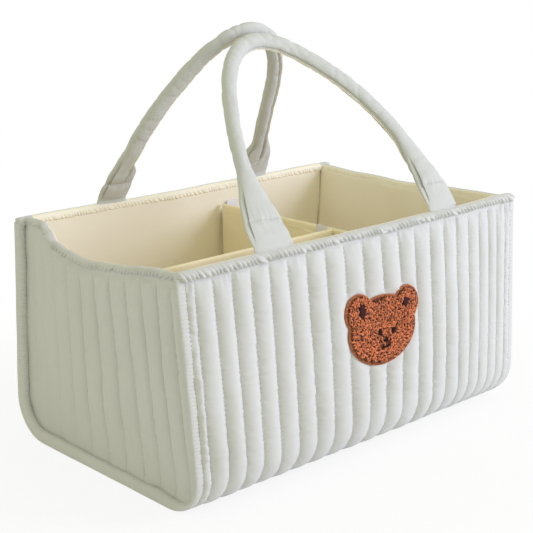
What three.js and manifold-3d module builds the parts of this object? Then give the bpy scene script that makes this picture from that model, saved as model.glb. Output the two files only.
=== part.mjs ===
import * as THREE from "three";
import { mergeVertices } from "three/addons/utils/BufferGeometryUtils.js";
import Module from "manifold-3d";

// A soft quilted nursery caddy, in millimetres.
// X runs along its length, the front faces -Y, and Z rises from the floor.

// Body
const bodyLength = 385; // over the seam flanges at both ends
const bodyDepth = 240; // front to back, over the stitch lines of the quilt
const rimHeight = 193; // floor to the top of the rim
const bottomRound = 38; // radius where front and back turn under into the base
const fitGap = 0.3; // clearance between neighbouring pieces

// Layers of a wall, from outside to inside
const stitchThickness = 2.5; // quilt where it is stitched down
const channelCrown = 3; // puff of one quilted channel
const wallFullness = 4; // extra puff in the middle of front and back
const endFullness = 4.5; // extra puff in the middle of the two ends
const stiffenerThickness = 3;
const liningThickness = 1.2;

// Quilting
const wrapChannels = 20; // channels along the length
const wrapMargin = 5.2; // narrow strip between the seam and the first stitch line
const wrapDrift = 15.4; // how far the middle stitch line of the strip lies to the right
const endChannels = 12; // channels across each end
const channelSwell = 0.055; // how much wider the channels get towards the middle of a panel
const channelSteps = 3; // facets over one channel
const wallRows = 4; // facets down a wall
const roundSteps = 7; // facets round the bottom edge

// The soft body doesn't stand square
const endLean = 7; // how far each end comes in at the floor
const wallFlare = 8.8; // how far the long walls go out at the floor

// Pinched seam that edges each end
const flangeWidth = 9;
const flangeThickness = 4.5;
const seamMargin = 2.2; // flat edge of the end panel that lies behind the flange

// Rolled rim
const rimRoll = 8.6; // height of the roll
const rimOverhang = 1.5; // how far it stands out past the stitch lines
const rimInside = 0.7; // how far it stands in past the lining
const rimRound = 4; // radius of its top edges

// The left rim slackens a little
const slackDepth = 8;
const slackPeak = 8; // place of the lowest point, towards the back
const slackBackReach = 75;
const slackFrontReach = 90;

// Carrying handles
const frontSpan = 194; // between the middles of the two feet of the front handle
const frontMiddle = 1; // half way between those feet, along the length
const backSpan = 171;
const backMiddle = -1.2;
const handleRise = 181; // fold at the rim to the middle of the tube at the top
const tubeWidth = 14.5; // tube in the plane of the loop
const tubeDepth = 10.5; // tube across the plane of the loop
const sleeveThickness = 1.5;
const footWidth = 36;
const footThickness = 5;
const footFlat = 14; // flat length of the foot before it rolls up into a tube
const footFlare = 80; // length over which the foot narrows
const frontReach = 116.3; // how far the top of the front handle leans in from its fold
const backReach = 101.7;
const loopSteps = 32;
const ringSteps = 14;
const slitWidth = 6;
const slitLength = 12;
const tailDepth = 25; // sewn-in end of the handle below the rim

// Removable dividers
const crossDividerX = 44;
const longDividerY = -39;
const dividerDrop = 20; // top of the rim to the top of the dividers
const dividerThickness = 5;
const dividerBoard = 2.4;
const sleeveEdge = 1.6; // cloth round the edges of the board
const dividerClearance = 0.5; // below the divider, and beside it at the rim
const crossFlapWidth = 18; // narrow, so that it lifts past the feet of the handles
const longFlapWidth = 28;
const flapHeight = 78;
const flapThickness = 1.5;
const flapDrop = 5; // top of the flap below the top of the divider
const fastenerWidth = 13;
const fastenerHeight = 26;
const fastenerThickness = 1;
const fastenerMargin = 3; // edge of the flap to the edge of the fastener
const loopRise = 1.5; // loop tape above the top of the divider

// Bear head patch on the front
const patchX = 8.6;
const patchDrop = 84.1; // top of the rim to the middle of the head
const patchTilt = -3; // degrees
const headWidth = 79;
const headHeight = 57;
const earRadius = 15;
const earSpread = 28; // middle of the head to the middle of an ear, sideways
const earRise = 17.7; // middle of the head to the middle of an ear, upwards
const patchBorder = 1.6; // sewn edge that shows round the pile
const backingThickness = 1.2;
const pileThickness = 2.6;
const stitchRelief = 0.6; // embroidery above the pile
const faceShift = 2; // middle of the head to the middle of the face, sideways
const eyeRadius = 2.6;
const eyeSpread = 7.9;
const eyeDrop = 1.5;
const noseWidth = 4.6;
const noseHeight = 4.6;
const noseDrop = 8.2;
const mouthRadius = 5;
const mouthWidth = 1.6;
const mouthDrop = 9;
const innerEarRadius = 4.5;
const innerEarSpread = 25.5;

// Sizes that follow from the ones above
const wallLine = bodyDepth / 2;
const panelEnd = bodyLength / 2 - flangeWidth;
const panelTop = rimHeight - rimRoll - fitGap;
const stiffenerInset = stitchThickness + fitGap;
const liningInset = stiffenerInset + stiffenerThickness + fitGap;
const innerInset = liningInset + liningThickness;
const rimThickness = rimOverhang + innerInset + rimInside;
const flatHalf = wallLine - bottomRound;
const dividerTop = rimHeight - dividerDrop;
const dividerInset = innerInset + rimInside + dividerClearance; // lets a divider lift past the rim

// Colours
const cloth = new THREE.MeshStandardMaterial({ color: 0xe9e8e2, roughness: 0.85, metalness: 0 });
const liningCloth = new THREE.MeshStandardMaterial({ color: 0xf0e2b8, roughness: 0.7, metalness: 0 });
const foam = new THREE.MeshStandardMaterial({ color: 0xf4f3ee, roughness: 0.9, metalness: 0 });
const board = new THREE.MeshStandardMaterial({ color: 0xb79b72, roughness: 0.9, metalness: 0 });
const filling = new THREE.MeshStandardMaterial({ color: 0xf7f6f1, roughness: 1, metalness: 0 });
const fastener = new THREE.MeshStandardMaterial({ color: 0xefedf3, roughness: 0.9, metalness: 0 });
const pile = new THREE.MeshStandardMaterial({ color: 0x9a4f2c, roughness: 1, metalness: 0 });
const border = new THREE.MeshStandardMaterial({ color: 0x7d3b1f, roughness: 0.8, metalness: 0 });
const thread = new THREE.MeshStandardMaterial({ color: 0x3a1c12, roughness: 0.6, metalness: 0 });

const wasm = await Module();
wasm.setup();

const caddy = new THREE.Group();

function addPiece(parent, name, geometry, material) {
  const mesh = new THREE.Mesh(geometry, material);
  mesh.name = name;
  parent.add(mesh);
  return mesh;
}

// Turns a shape drawn in Y and Z and extruded upwards so that it is extruded along X
function layAlongX(geometry) {
  const turn = new THREE.Matrix4().makeBasis(
    new THREE.Vector3(0, 1, 0),
    new THREE.Vector3(0, 0, 1),
    new THREE.Vector3(1, 0, 0),
  );
  return geometry.applyMatrix4(turn);
}

function extrude(points, depth) {
  const shape = new THREE.Shape(points);
  return new THREE.ExtrudeGeometry(shape, { depth, bevelEnabled: false });
}

function toSolid(geometry) {
  const bare = geometry.clone();
  bare.deleteAttribute("normal");
  bare.deleteAttribute("uv");
  const merged = mergeVertices(bare, 1e-4);
  const vertProperties = new Float32Array(merged.getAttribute("position").array);
  const triVerts = new Uint32Array(merged.getIndex().array);
  return new wasm.Manifold(new wasm.Mesh({ numProp: 3, vertProperties, triVerts }));
}

// Cuts each of the tools out of a body
function cut(body, tools) {
  let solid = toSolid(body);
  for (const tool of tools) {
    solid = solid.subtract(toSolid(tool));
  }
  const mesh = solid.getMesh();
  const geometry = new THREE.BufferGeometry();
  geometry.setAttribute("position", new THREE.BufferAttribute(mesh.vertProperties, 3));
  geometry.setIndex(new THREE.BufferAttribute(mesh.triVerts, 1));
  return geometry;
}

// Collects the corners and faces of a free-form closed piece
class Patchwork {
  constructor() {
    this.corners = [];
    this.faces = [];
  }

  corner(x, y, z) {
    this.corners.push(x, y, z);
    return this.corners.length / 3 - 1;
  }

  triangle(a, b, c) {
    this.faces.push(a, b, c);
  }

  quad(a, b, c, d) {
    this.triangle(a, b, c);
    this.triangle(a, c, d);
  }

  geometry() {
    const geometry = new THREE.BufferGeometry();
    geometry.setAttribute("position", new THREE.Float32BufferAttribute(this.corners, 3));
    geometry.setIndex(this.faces);
    return geometry;
  }
}

// How far the left rim hangs below a straight line, at a place across the end
function slackAt(y) {
  const reach = y > slackPeak ? slackBackReach : slackFrontReach;
  const away = Math.min(Math.abs(y - slackPeak) / reach, 1);
  return slackDepth * (0.5 + 0.5 * Math.cos(Math.PI * away));
}

function noSlack() {
  return 0;
}

// Outline of the body in Y and Z, down the front, under the base and up the back
function bodyLine(inset, top) {
  const half = wallLine - inset;
  const round = bottomRound - inset;
  const line = [new THREE.Vector2(-half, top)];
  for (let k = 0; k <= roundSteps; k += 1) {
    const angle = (Math.PI / 2) * (k / roundSteps);
    line.push(new THREE.Vector2(-flatHalf - round * Math.cos(angle), bottomRound - round * Math.sin(angle)));
  }
  for (let k = roundSteps; k >= 0; k -= 1) {
    const angle = (Math.PI / 2) * (k / roundSteps);
    line.push(new THREE.Vector2(flatHalf + round * Math.cos(angle), bottomRound - round * Math.sin(angle)));
  }
  line.push(new THREE.Vector2(half, top));
  return line;
}

// Full outline of an end, closed along the top by a rim line that may hang slack
function endOutline(inset, top, slack) {
  const half = wallLine - inset;
  const outline = bodyLine(inset, top);
  const topSteps = 16;
  for (let k = 1; k < topSteps; k += 1) {
    const y = half - (2 * half * k) / topSteps;
    outline.push(new THREE.Vector2(y, top - slack(y)));
  }
  return outline;
}

// Strip of cloth that follows the body between two insets
function bodyStrip(outerInset, innerInsetOfStrip, top) {
  const outer = bodyLine(outerInset, top);
  const inner = bodyLine(innerInsetOfStrip, top);
  return outer.concat(inner.reverse());
}

// A stitch line lies flat, and the cloth between two of them puffs up
function channelPuff(step) {
  return step % channelSteps === 0 ? 0 : 1;
}

// Place across a quilted panel, from -1 to 1
function channelPlace(share) {
  const even = 2 * share - 1;
  return even + channelSwell * Math.sin(Math.PI * even);
}

// Stitch line of the strip, from the left seam at 0 to the right seam
function wrapLine(number) {
  if (number === 0 || number === wrapChannels + 2) {
    return number === 0 ? -panelEnd : panelEnd;
  }
  const share = (number - 1) / wrapChannels;
  const even = 2 * share - 1;
  return (panelEnd - wrapMargin) * channelPlace(share) + wrapDrift * (1 - even * even);
}

// Place along the strip of one of its facets
function wrapPlace(step) {
  const line = Math.floor(step / channelSteps);
  const left = wrapLine(line);
  const share = (step % channelSteps) / channelSteps;
  return share === 0 ? left : THREE.MathUtils.lerp(left, wrapLine(line + 1), share);
}

// Cross sections of the quilted strip, from the front top edge to the back top edge
function wrapSections() {
  const half = [];
  for (let k = 0; k <= wallRows; k += 1) {
    const share = k / wallRows;
    half.push({
      y: wallLine,
      z: panelTop - share * (panelTop - bottomRound),
      outY: 1,
      outZ: 0,
      crown: k === 0 ? channelCrown / 2 : channelCrown,
      fullness: wallFullness * Math.sin(Math.PI * share),
    });
  }
  for (let k = 1; k <= roundSteps; k += 1) {
    const angle = (Math.PI / 2) * (k / roundSteps);
    half.push({
      y: flatHalf + bottomRound * Math.cos(angle),
      z: bottomRound - bottomRound * Math.sin(angle),
      outY: Math.cos(angle),
      outZ: -Math.sin(angle),
      crown: k === roundSteps ? 0 : channelCrown * Math.cos(angle),
      fullness: 0,
    });
  }
  const front = half.map((section) => ({ ...section, y: -section.y, outY: -section.outY }));
  return front.concat(half.reverse());
}

// One quilted strip makes the front, the base and the back
function quiltedWrap() {
  const sections = wrapSections();
  const columns = (wrapChannels + 2) * channelSteps;
  const work = new Patchwork();
  const outer = [];
  const inner = [];
  for (const section of sections) {
    const row = [];
    for (let i = 0; i <= columns; i += 1) {
      const x = wrapPlace(i);
      const across = Math.cos((Math.PI / 2) * (x / panelEnd));
      const puff = section.crown * channelPuff(i) + section.fullness * across;
      row.push(work.corner(x, section.y + section.outY * puff, section.z + section.outZ * puff));
    }
    outer.push(row);
    const y = section.y - section.outY * stitchThickness;
    const z = section.z - section.outZ * stitchThickness;
    inner.push([work.corner(-panelEnd, y, z), work.corner(panelEnd, y, z)]);
  }
  const last = sections.length - 1;
  const middle = Math.floor(columns / 2);
  for (let j = 0; j < last; j += 1) {
    for (let i = 0; i < columns; i += 1) {
      work.quad(outer[j][i], outer[j + 1][i], outer[j + 1][i + 1], outer[j][i + 1]);
    }
    work.quad(inner[j][0], inner[j][1], inner[j + 1][1], inner[j + 1][0]);
    work.quad(outer[j][0], inner[j][0], inner[j + 1][0], outer[j + 1][0]);
    work.quad(outer[j][columns], outer[j + 1][columns], inner[j + 1][1], inner[j][1]);
  }
  for (let i = 0; i < columns; i += 1) {
    const side = i < middle ? 0 : 1;
    work.triangle(outer[0][i], outer[0][i + 1], inner[0][side]);
    work.triangle(outer[last][i + 1], outer[last][i], inner[last][side]);
  }
  work.triangle(outer[0][middle], inner[0][1], inner[0][0]);
  work.triangle(outer[last][middle], inner[last][0], inner[last][1]);
  return work.geometry();
}

// Height of the rounded lower outline of an end at a place across it, and its outward direction
function lowerEdge(y, inset) {
  const round = bottomRound - inset;
  const past = Math.abs(y) - flatHalf;
  if (past <= 0) {
    return { z: inset, outY: 0, outZ: -1 };
  }
  const sine = Math.min(past / round, 1);
  const drop = Math.sqrt(1 - sine * sine);
  return { z: bottomRound - round * drop, outY: Math.sign(y) * sine, outZ: -drop };
}

// Quilted end, facing -X, with a flat margin where it goes behind the seam flange
function quiltedEnd(slack) {
  const columns = endChannels * channelSteps;
  const rows = wallRows + 1;
  const innerEdge = stiffenerInset + fitGap + seamMargin;
  const half = wallLine - innerEdge;
  const work = new Patchwork();
  const face = [];
  for (let i = 0; i <= columns; i += 1) {
    const y = half * channelPlace(i / columns);
    const low = lowerEdge(y, innerEdge).z;
    const high = panelTop - slack(y);
    const column = [];
    for (let j = 0; j <= rows; j += 1) {
      const share = j / rows;
      const onEdge = i === 0 || i === columns || j === 0;
      const round = Math.sin((Math.PI * i) / columns) * Math.sin((Math.PI * (share + 0.15)) / 1.15);
      const puff = onEdge ? 0 : channelCrown * channelPuff(i) + endFullness * Math.max(round, 0);
      column.push(work.corner(-puff, y, low + (high - low) * share));
    }
    face.push(column);
  }
  const edge = [];
  for (let j = rows; j > 0; j -= 1) {
    edge.push(face[0][j]);
  }
  for (let i = 0; i <= columns; i += 1) {
    edge.push(face[i][0]);
  }
  for (let j = 1; j <= rows; j += 1) {
    edge.push(face[columns][j]);
  }
  const rimEdge = [];
  const backEdge = [];
  for (const index of edge) {
    const y = work.corners[3 * index + 1];
    const z = work.corners[3 * index + 2];
    const low = lowerEdge(y, innerEdge);
    const outY = z > bottomRound ? Math.sign(y) : low.outY;
    const outZ = z > bottomRound ? 0 : low.outZ;
    rimEdge.push(work.corner(0, y + outY * seamMargin, z + outZ * seamMargin));
    backEdge.push(work.corner(stitchThickness, y + outY * seamMargin, z + outZ * seamMargin));
  }
  for (let i = 0; i < columns; i += 1) {
    for (let j = 0; j < rows; j += 1) {
      work.quad(face[i][j], face[i][j + 1], face[i + 1][j + 1], face[i + 1][j]);
    }
  }
  for (let k = 0; k < edge.length - 1; k += 1) {
    work.quad(edge[k], edge[k + 1], rimEdge[k + 1], rimEdge[k]);
    work.quad(rimEdge[k], rimEdge[k + 1], backEdge[k + 1], backEdge[k]);
  }
  const topBack = [];
  for (let i = 0; i <= columns; i += 1) {
    const top = face[i][rows];
    topBack.push(work.corner(stitchThickness, work.corners[3 * top + 1], work.corners[3 * top + 2]));
  }
  for (let i = 0; i < columns; i += 1) {
    work.quad(face[i][rows], topBack[i], topBack[i + 1], face[i + 1][rows]);
  }
  const lastEdge = edge.length - 1;
  work.triangle(rimEdge[0], backEdge[0], topBack[0]);
  work.triangle(rimEdge[0], topBack[0], face[0][rows]);
  work.triangle(topBack[columns], backEdge[lastEdge], rimEdge[lastEdge]);
  work.triangle(face[columns][rows], topBack[columns], rimEdge[lastEdge]);
  const outline = backEdge.concat(topBack.slice().reverse());
  const flat = outline.map((index) => new THREE.Vector2(work.corners[3 * index + 1], work.corners[3 * index + 2]));
  for (const [a, b, c] of THREE.ShapeUtils.triangulateShape(flat, [])) {
    work.triangle(outline[a], outline[b], outline[c]);
  }
  return work.geometry();
}

// Solid through a row of closed rings, capped at both ends
function loft(rings) {
  const work = new Patchwork();
  const rows = rings.map((ring) => ring.map((point) => work.corner(point.x, point.y, point.z)));
  const count = rows[0].length;
  for (let j = 0; j < rows.length - 1; j += 1) {
    for (let i = 0; i < count; i += 1) {
      const next = (i + 1) % count;
      work.quad(rows[j][i], rows[j][next], rows[j + 1][next], rows[j + 1][i]);
    }
  }
  const last = rows[rows.length - 1];
  for (let i = 1; i < count - 1; i += 1) {
    work.triangle(rows[0][0], rows[0][i + 1], rows[0][i]);
    work.triangle(last[0], last[i], last[i + 1]);
  }
  return work.geometry();
}

// Section of the rolled rim: across the wall and height, outer face at 0
function rimSection() {
  const steps = 4;
  const section = [new THREE.Vector2(0, -rimRoll)];
  section.push(new THREE.Vector2(rimThickness, -rimRoll));
  for (let k = 0; k <= steps; k += 1) {
    const angle = (Math.PI / 2) * (k / steps);
    section.push(new THREE.Vector2(
      rimThickness - rimRound + rimRound * Math.cos(angle),
      -rimRound + rimRound * Math.sin(angle),
    ));
  }
  for (let k = 0; k <= steps; k += 1) {
    const angle = (Math.PI / 2) * (1 + k / steps);
    section.push(new THREE.Vector2(rimRound + rimRound * Math.cos(angle), -rimRound + rimRound * Math.sin(angle)));
  }
  return section;
}

// Rim of an end: outer face at x = 0, hanging slack with the end below it
function endRim(slack) {
  const reach = wallLine + rimOverhang - rimThickness - fitGap;
  const steps = 16;
  const rings = [];
  for (let k = 0; k <= steps; k += 1) {
    const y = reach - (2 * reach * k) / steps;
    rings.push(rimSection().map((point) => new THREE.Vector3(point.x, y, rimHeight + point.y - slack(y))));
  }
  return loft(rings);
}

function buildBody() {
  addPiece(caddy, "outer_wrap", quiltedWrap(), cloth);
  const liningReach = panelEnd - stiffenerInset - stiffenerThickness - fitGap;
  const liningStrip = extrude(bodyStrip(liningInset, innerInset, panelTop), 2 * liningReach);
  const lining = addPiece(caddy, "lining_wrap", layAlongX(liningStrip), liningCloth);
  lining.position.x = -liningReach;

  const boardReach = panelEnd - stitchThickness - fitGap;
  const base = addPiece(
    caddy,
    "base_board",
    new THREE.BoxGeometry(2 * boardReach, 2 * flatHalf, stiffenerThickness),
    board,
  );
  base.position.z = stiffenerInset + stiffenerThickness / 2;
}

// Each end is built facing -X from its flange tip at x = 0 and turned into place
function buildEnd(side, slack) {
  const end = new THREE.Group();
  end.position.x = side === "left" ? -bodyLength / 2 : bodyLength / 2;
  end.rotation.z = side === "left" ? 0 : Math.PI;
  caddy.add(end);

  const seam = extrude(bodyStrip(0, flangeThickness, panelTop), flangeWidth - fitGap);
  addPiece(end, `${side}_seam_flange`, layAlongX(seam), cloth);

  const panel = addPiece(end, `${side}_end_panel`, quiltedEnd(slack), cloth);
  panel.position.x = flangeWidth;

  const stiffener = addPiece(
    end,
    `${side}_stiffener`,
    layAlongX(extrude(endOutline(liningInset, panelTop, slack), stiffenerThickness)),
    foam,
  );
  stiffener.position.x = flangeWidth + stiffenerInset;

  const lining = addPiece(
    end,
    `${side}_lining`,
    layAlongX(extrude(endOutline(innerInset + fitGap, panelTop, slack), liningThickness)),
    liningCloth,
  );
  lining.position.x = flangeWidth + liningInset;

  const rim = addPiece(end, `${side}_rim`, endRim(slack), cloth);
  rim.position.x = flangeWidth - rimOverhang;
}

// Front and back are alike: each is built facing -Y and turned into place
function buildLongSide(side) {
  const wall = new THREE.Group();
  wall.rotation.z = side === "front" ? 0 : Math.PI;
  caddy.add(wall);

  const { span, middle } = handleOf(side);
  const footPlaces = [middle - span / 2, middle + span / 2].map((place) => (side === "front" ? place : -place));
  const notch = footWidth / 2 + fitGap;
  const reach = panelEnd - stitchThickness - fitGap;
  const notchFloor = panelTop - tailDepth - fitGap;
  const outline = [new THREE.Vector2(-reach, bottomRound), new THREE.Vector2(reach, bottomRound)];
  outline.push(new THREE.Vector2(reach, panelTop));
  for (const place of [...footPlaces].sort((a, b) => b - a)) {
    outline.push(new THREE.Vector2(place + notch, panelTop));
    outline.push(new THREE.Vector2(place + notch, notchFloor));
    outline.push(new THREE.Vector2(place - notch, notchFloor));
    outline.push(new THREE.Vector2(place - notch, panelTop));
  }
  outline.push(new THREE.Vector2(-reach, panelTop));
  const stiffener = addPiece(wall, `${side}_stiffener`, extrude(outline, stiffenerThickness), foam);
  stiffener.rotation.x = Math.PI / 2;
  stiffener.position.y = -wallLine + stiffenerInset + stiffenerThickness;

  const tailTop = rimHeight - fitGap;
  const tailBottom = panelTop - tailDepth;
  const tailMiddle = -wallLine + stiffenerInset + stiffenerThickness / 2;
  const rimProfile = rimSection().map((point) => new THREE.Vector2(
    -wallLine - rimOverhang + point.x,
    rimHeight + point.y,
  ));
  const rimBar = layAlongX(extrude(rimProfile, bodyLength));
  rimBar.translate(-bodyLength / 2, 0, 0);
  const slots = footPlaces.map((place) => {
    const slot = new THREE.BoxGeometry(2 * notch, stiffenerThickness + 2 * fitGap, 4 * rimRoll);
    return slot.translate(place, tailMiddle, rimHeight);
  });
  addPiece(wall, `${side}_rim`, cut(rimBar, slots), cloth);

  for (const place of footPlaces) {
    const hand = (place < 0) === (side === "front") ? "left" : "right";
    const tail = addPiece(
      wall,
      `${side}_handle_${hand}_tail`,
      new THREE.BoxGeometry(footWidth, stiffenerThickness, tailTop - tailBottom),
      cloth,
    );
    tail.position.set(place, tailMiddle, (tailTop + tailBottom) / 2);
  }
}

function handleOf(side) {
  return side === "front"
    ? { span: frontSpan, middle: frontMiddle, lean: Math.asin(frontReach / handleRise), inwards: 1 }
    : { span: backSpan, middle: backMiddle, lean: Math.asin(backReach / handleRise), inwards: -1 };
}

// Flat foot at 0, full tube at 1, by height above the fold at the rim
function tubeShare(height) {
  return THREE.MathUtils.smoothstep(height, footFlat, footFlat + footFlare);
}

// Closed ring across the handle: a flat foot is squarish, the tube is oval
function handleRing(x, z, alongX, alongZ, halfWidth, halfDepth, squareness) {
  const ring = [];
  for (let k = 0; k < ringSteps; k += 1) {
    const angle = (2 * Math.PI * k) / ringSteps;
    const across = Math.sign(Math.cos(angle)) * Math.abs(Math.cos(angle)) ** squareness;
    const deep = Math.sign(Math.sin(angle)) * Math.abs(Math.sin(angle)) ** squareness;
    ring.push(new THREE.Vector3(
      x + alongZ * halfWidth * across,
      halfDepth * deep,
      z - alongX * halfWidth * across,
    ));
  }
  return ring;
}

// Ring at a turn of the half-oval loop, in the plane y = 0 with the fold line at z = 0
function loopRing(span, turn, halfWidth, halfDepth, squareness) {
  const x = (-span / 2) * Math.cos(turn);
  const z = handleRise * Math.sin(turn);
  const direction = new THREE.Vector2((span / 2) * Math.sin(turn), handleRise * Math.cos(turn)).normalize();
  return handleRing(x, z, direction.x, direction.y, halfWidth, halfDepth, squareness);
}

function handleCover(span, slitSide) {
  const half = footThickness / 2;
  const rings = [];
  for (const [drop, share] of [[0.88, 0.44], [0.48, 0.86]]) {
    rings.push(handleRing(-span / 2, -drop * half, 0, 1, footWidth / 2, share * half, 0.45));
  }
  for (let k = 0; k <= loopSteps; k += 1) {
    const turn = (Math.PI * k) / loopSteps;
    const share = tubeShare(handleRise * Math.sin(turn));
    const halfWidth = THREE.MathUtils.lerp(footWidth, tubeWidth, share) / 2;
    const halfDepth = THREE.MathUtils.lerp(footThickness, tubeDepth, share) / 2;
    rings.push(loopRing(span, turn, halfWidth, halfDepth, THREE.MathUtils.lerp(0.45, 1, share)));
  }
  for (const [drop, share] of [[0.48, 0.86], [0.88, 0.44]]) {
    rings.push(handleRing(span / 2, -drop * half, 0, -1, footWidth / 2, share * half, 0.45));
  }
  const tools = [handleFilling(span, sleeveThickness, 0)];
  const start = coreStart();
  for (const turn of [start, Math.PI - start]) {
    const slit = new THREE.BoxGeometry(slitWidth, tubeDepth, slitLength);
    const x = (-span / 2) * Math.cos(turn);
    tools.push(slit.translate(x, (slitSide * tubeDepth) / 2, handleRise * Math.sin(turn) + slitLength / 4));
  }
  return cut(loft(rings), tools);
}

// Turn of the loop where the tube is full and its filling begins
function coreStart() {
  return Math.asin((footFlat + footFlare) / handleRise);
}

function handleFilling(span, inset, endGap) {
  const start = coreStart() + endGap / handleRise;
  const steps = loopSteps - 8;
  const rings = [];
  for (let k = 0; k <= steps; k += 1) {
    const turn = start + ((Math.PI - 2 * start) * k) / steps;
    rings.push(loopRing(span, turn, tubeWidth / 2 - inset, tubeDepth / 2 - inset, 1));
  }
  return loft(rings);
}

// A handle turns about the fold at the foot of its flat ends
function buildHandle(side) {
  const { span, middle, lean, inwards } = handleOf(side);
  const handle = new THREE.Group();
  const foldY = wallLine - stiffenerInset - stiffenerThickness / 2;
  handle.position.set(middle, -inwards * foldY, rimHeight + fitGap + footThickness / 2);
  handle.rotation.x = -inwards * lean;
  caddy.add(handle);
  addPiece(handle, `${side}_handle_cover`, handleCover(span, inwards), cloth);
  addPiece(handle, `${side}_handle_core`, handleFilling(span, sleeveThickness + fitGap, 2 * fitGap), filling);
}

// Cloth sleeve with a pocket for its board and a slot under it to slip the board in
function dividerSleeve(outlines) {
  const room = dividerBoard + 2 * fitGap;
  const tools = [outlines.pocket, outlines.slot].map((points) => {
    const tool = extrude(points, room);
    return tool.translate(0, 0, (dividerThickness - room) / 2);
  });
  return layAlongX(cut(extrude(outlines.sleeve, dividerThickness), tools));
}

// Outlines of a divider across the body, whose lower corners follow the body
function crossOutlines() {
  const edge = dividerInset + sleeveEdge;
  const reach = flatHalf - sleeveEdge;
  return {
    sleeve: bodyLine(dividerInset, dividerTop),
    pocket: bodyLine(edge, dividerTop - sleeveEdge),
    slot: rectangle(-reach, reach, 0, edge + sleeveEdge),
    board: bodyLine(edge + fitGap, dividerTop - sleeveEdge - fitGap),
  };
}

// Outlines of a straight divider between two places
function longOutlines(from, to) {
  const foot = innerInset + dividerClearance;
  const edge = sleeveEdge + fitGap;
  return {
    sleeve: rectangle(from, to, foot, dividerTop),
    pocket: rectangle(from + sleeveEdge, to - sleeveEdge, foot + sleeveEdge, dividerTop - sleeveEdge),
    slot: rectangle(from + 2 * sleeveEdge, to - 2 * sleeveEdge, 0, foot + 2 * sleeveEdge),
    board: rectangle(from + edge, to - edge, foot + edge, dividerTop - edge),
  };
}

function rectangle(from, to, bottom, top) {
  return [
    new THREE.Vector2(from, bottom),
    new THREE.Vector2(to, bottom),
    new THREE.Vector2(to, top),
    new THREE.Vector2(from, top),
  ];
}

function buildDivider(name, place, outlines, turn) {
  const divider = new THREE.Group();
  divider.position.copy(place);
  divider.rotation.z = turn;
  caddy.add(divider);
  const sleeve = addPiece(divider, `${name}_sleeve`, dividerSleeve(outlines), liningCloth);
  sleeve.position.x = -dividerThickness / 2;
  const boardPiece = addPiece(
    divider,
    `${name}_board`,
    layAlongX(extrude(outlines.board, dividerBoard)),
    board,
  );
  boardPiece.position.x = -dividerBoard / 2;
}

// A fastening flap lies along a wall: the frame's x runs along the wall from the
// divider, and its y runs into the wall, whose face is at y = 0
function buildFlap(name, place, turn, mirrored, flapWidth) {
  const frame = new THREE.Group();
  frame.position.copy(place);
  frame.rotation.z = turn;
  caddy.add(frame);
  const along = mirrored ? -1 : 1;
  const flapTop = dividerTop - flapDrop;
  const patchAlong = along * (dividerThickness / 2 + fitGap + fastenerMargin + fastenerWidth / 2);

  const loop = addPiece(
    frame,
    `${name}_loop_patch`,
    new THREE.BoxGeometry(fastenerWidth, fastenerThickness, fastenerHeight),
    fastener,
  );
  const loopMiddle = -fitGap - fastenerThickness / 2;
  loop.position.set(patchAlong, loopMiddle, dividerTop + loopRise - fastenerHeight / 2);

  const hook = addPiece(
    frame,
    `${name}_hook_patch`,
    new THREE.BoxGeometry(fastenerWidth, fastenerThickness, fastenerHeight),
    fastener,
  );
  const hookMiddle = loopMiddle - fastenerThickness - fitGap;
  hook.position.set(patchAlong, hookMiddle, flapTop - fitGap - fastenerHeight / 2);

  const flap = addPiece(
    frame,
    `${name}_flap`,
    new THREE.BoxGeometry(flapWidth, flapThickness, flapHeight),
    liningCloth,
  );
  const flapMiddle = hookMiddle - fastenerThickness / 2 - fitGap - flapThickness / 2;
  const flapAlong = along * (dividerThickness / 2 + fitGap + flapWidth / 2);
  flap.position.set(flapAlong, flapMiddle, flapTop - flapHeight / 2);
}

function buildDividers() {
  buildDivider("cross_divider", new THREE.Vector3(crossDividerX, 0, 0), crossOutlines(), 0);

  const leftFace = innerInset - panelEnd;
  const crossFace = crossDividerX - dividerThickness / 2;
  const outlines = longOutlines(dividerClearance - crossFace, panelEnd - dividerInset);
  buildDivider("long_divider", new THREE.Vector3(0, longDividerY, 0), outlines, Math.PI / 2);

  const innerWall = wallLine - innerInset;
  buildFlap("cross_back", new THREE.Vector3(crossDividerX, innerWall, 0), 0, false, crossFlapWidth);
  buildFlap("cross_front", new THREE.Vector3(crossDividerX, -innerWall, 0), Math.PI, true, crossFlapWidth);
  buildFlap("long_left", new THREE.Vector3(leftFace, longDividerY, 0), Math.PI / 2, false, longFlapWidth);
  buildFlap("long_right", new THREE.Vector3(crossFace, longDividerY, 0), -Math.PI / 2, true, longFlapWidth);
}

// Outline of a bear head: an oval with two round ears, as one closed line
function bearOutline(grow) {
  const steps = 64;
  const halfWidth = headWidth / 2 + grow;
  const halfHeight = headHeight / 2 + grow;
  const ear = earRadius + grow;
  const points = [];
  for (let k = 0; k < steps; k += 1) {
    const angle = (2 * Math.PI * k) / steps;
    const ray = new THREE.Vector2(Math.cos(angle), Math.sin(angle));
    let reach = 1 / Math.hypot(ray.x / halfWidth, ray.y / halfHeight);
    const earX = Math.sign(ray.x || 1) * earSpread;
    const along = earX * ray.x + earRise * ray.y;
    const apart = earSpread * earSpread + earRise * earRise - along * along;
    if (along > 0 && apart < ear * ear) {
      reach = Math.max(reach, along + Math.sqrt(ear * ear - apart));
    }
    points.push(ray.multiplyScalar(reach));
  }
  return points;
}

function ovalPoints(x, y, halfWidth, halfHeight, steps) {
  const points = [];
  for (let k = 0; k < steps; k += 1) {
    const angle = (2 * Math.PI * k) / steps;
    points.push(new THREE.Vector2(x + halfWidth * Math.cos(angle), y + halfHeight * Math.sin(angle)));
  }
  return points;
}

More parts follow.
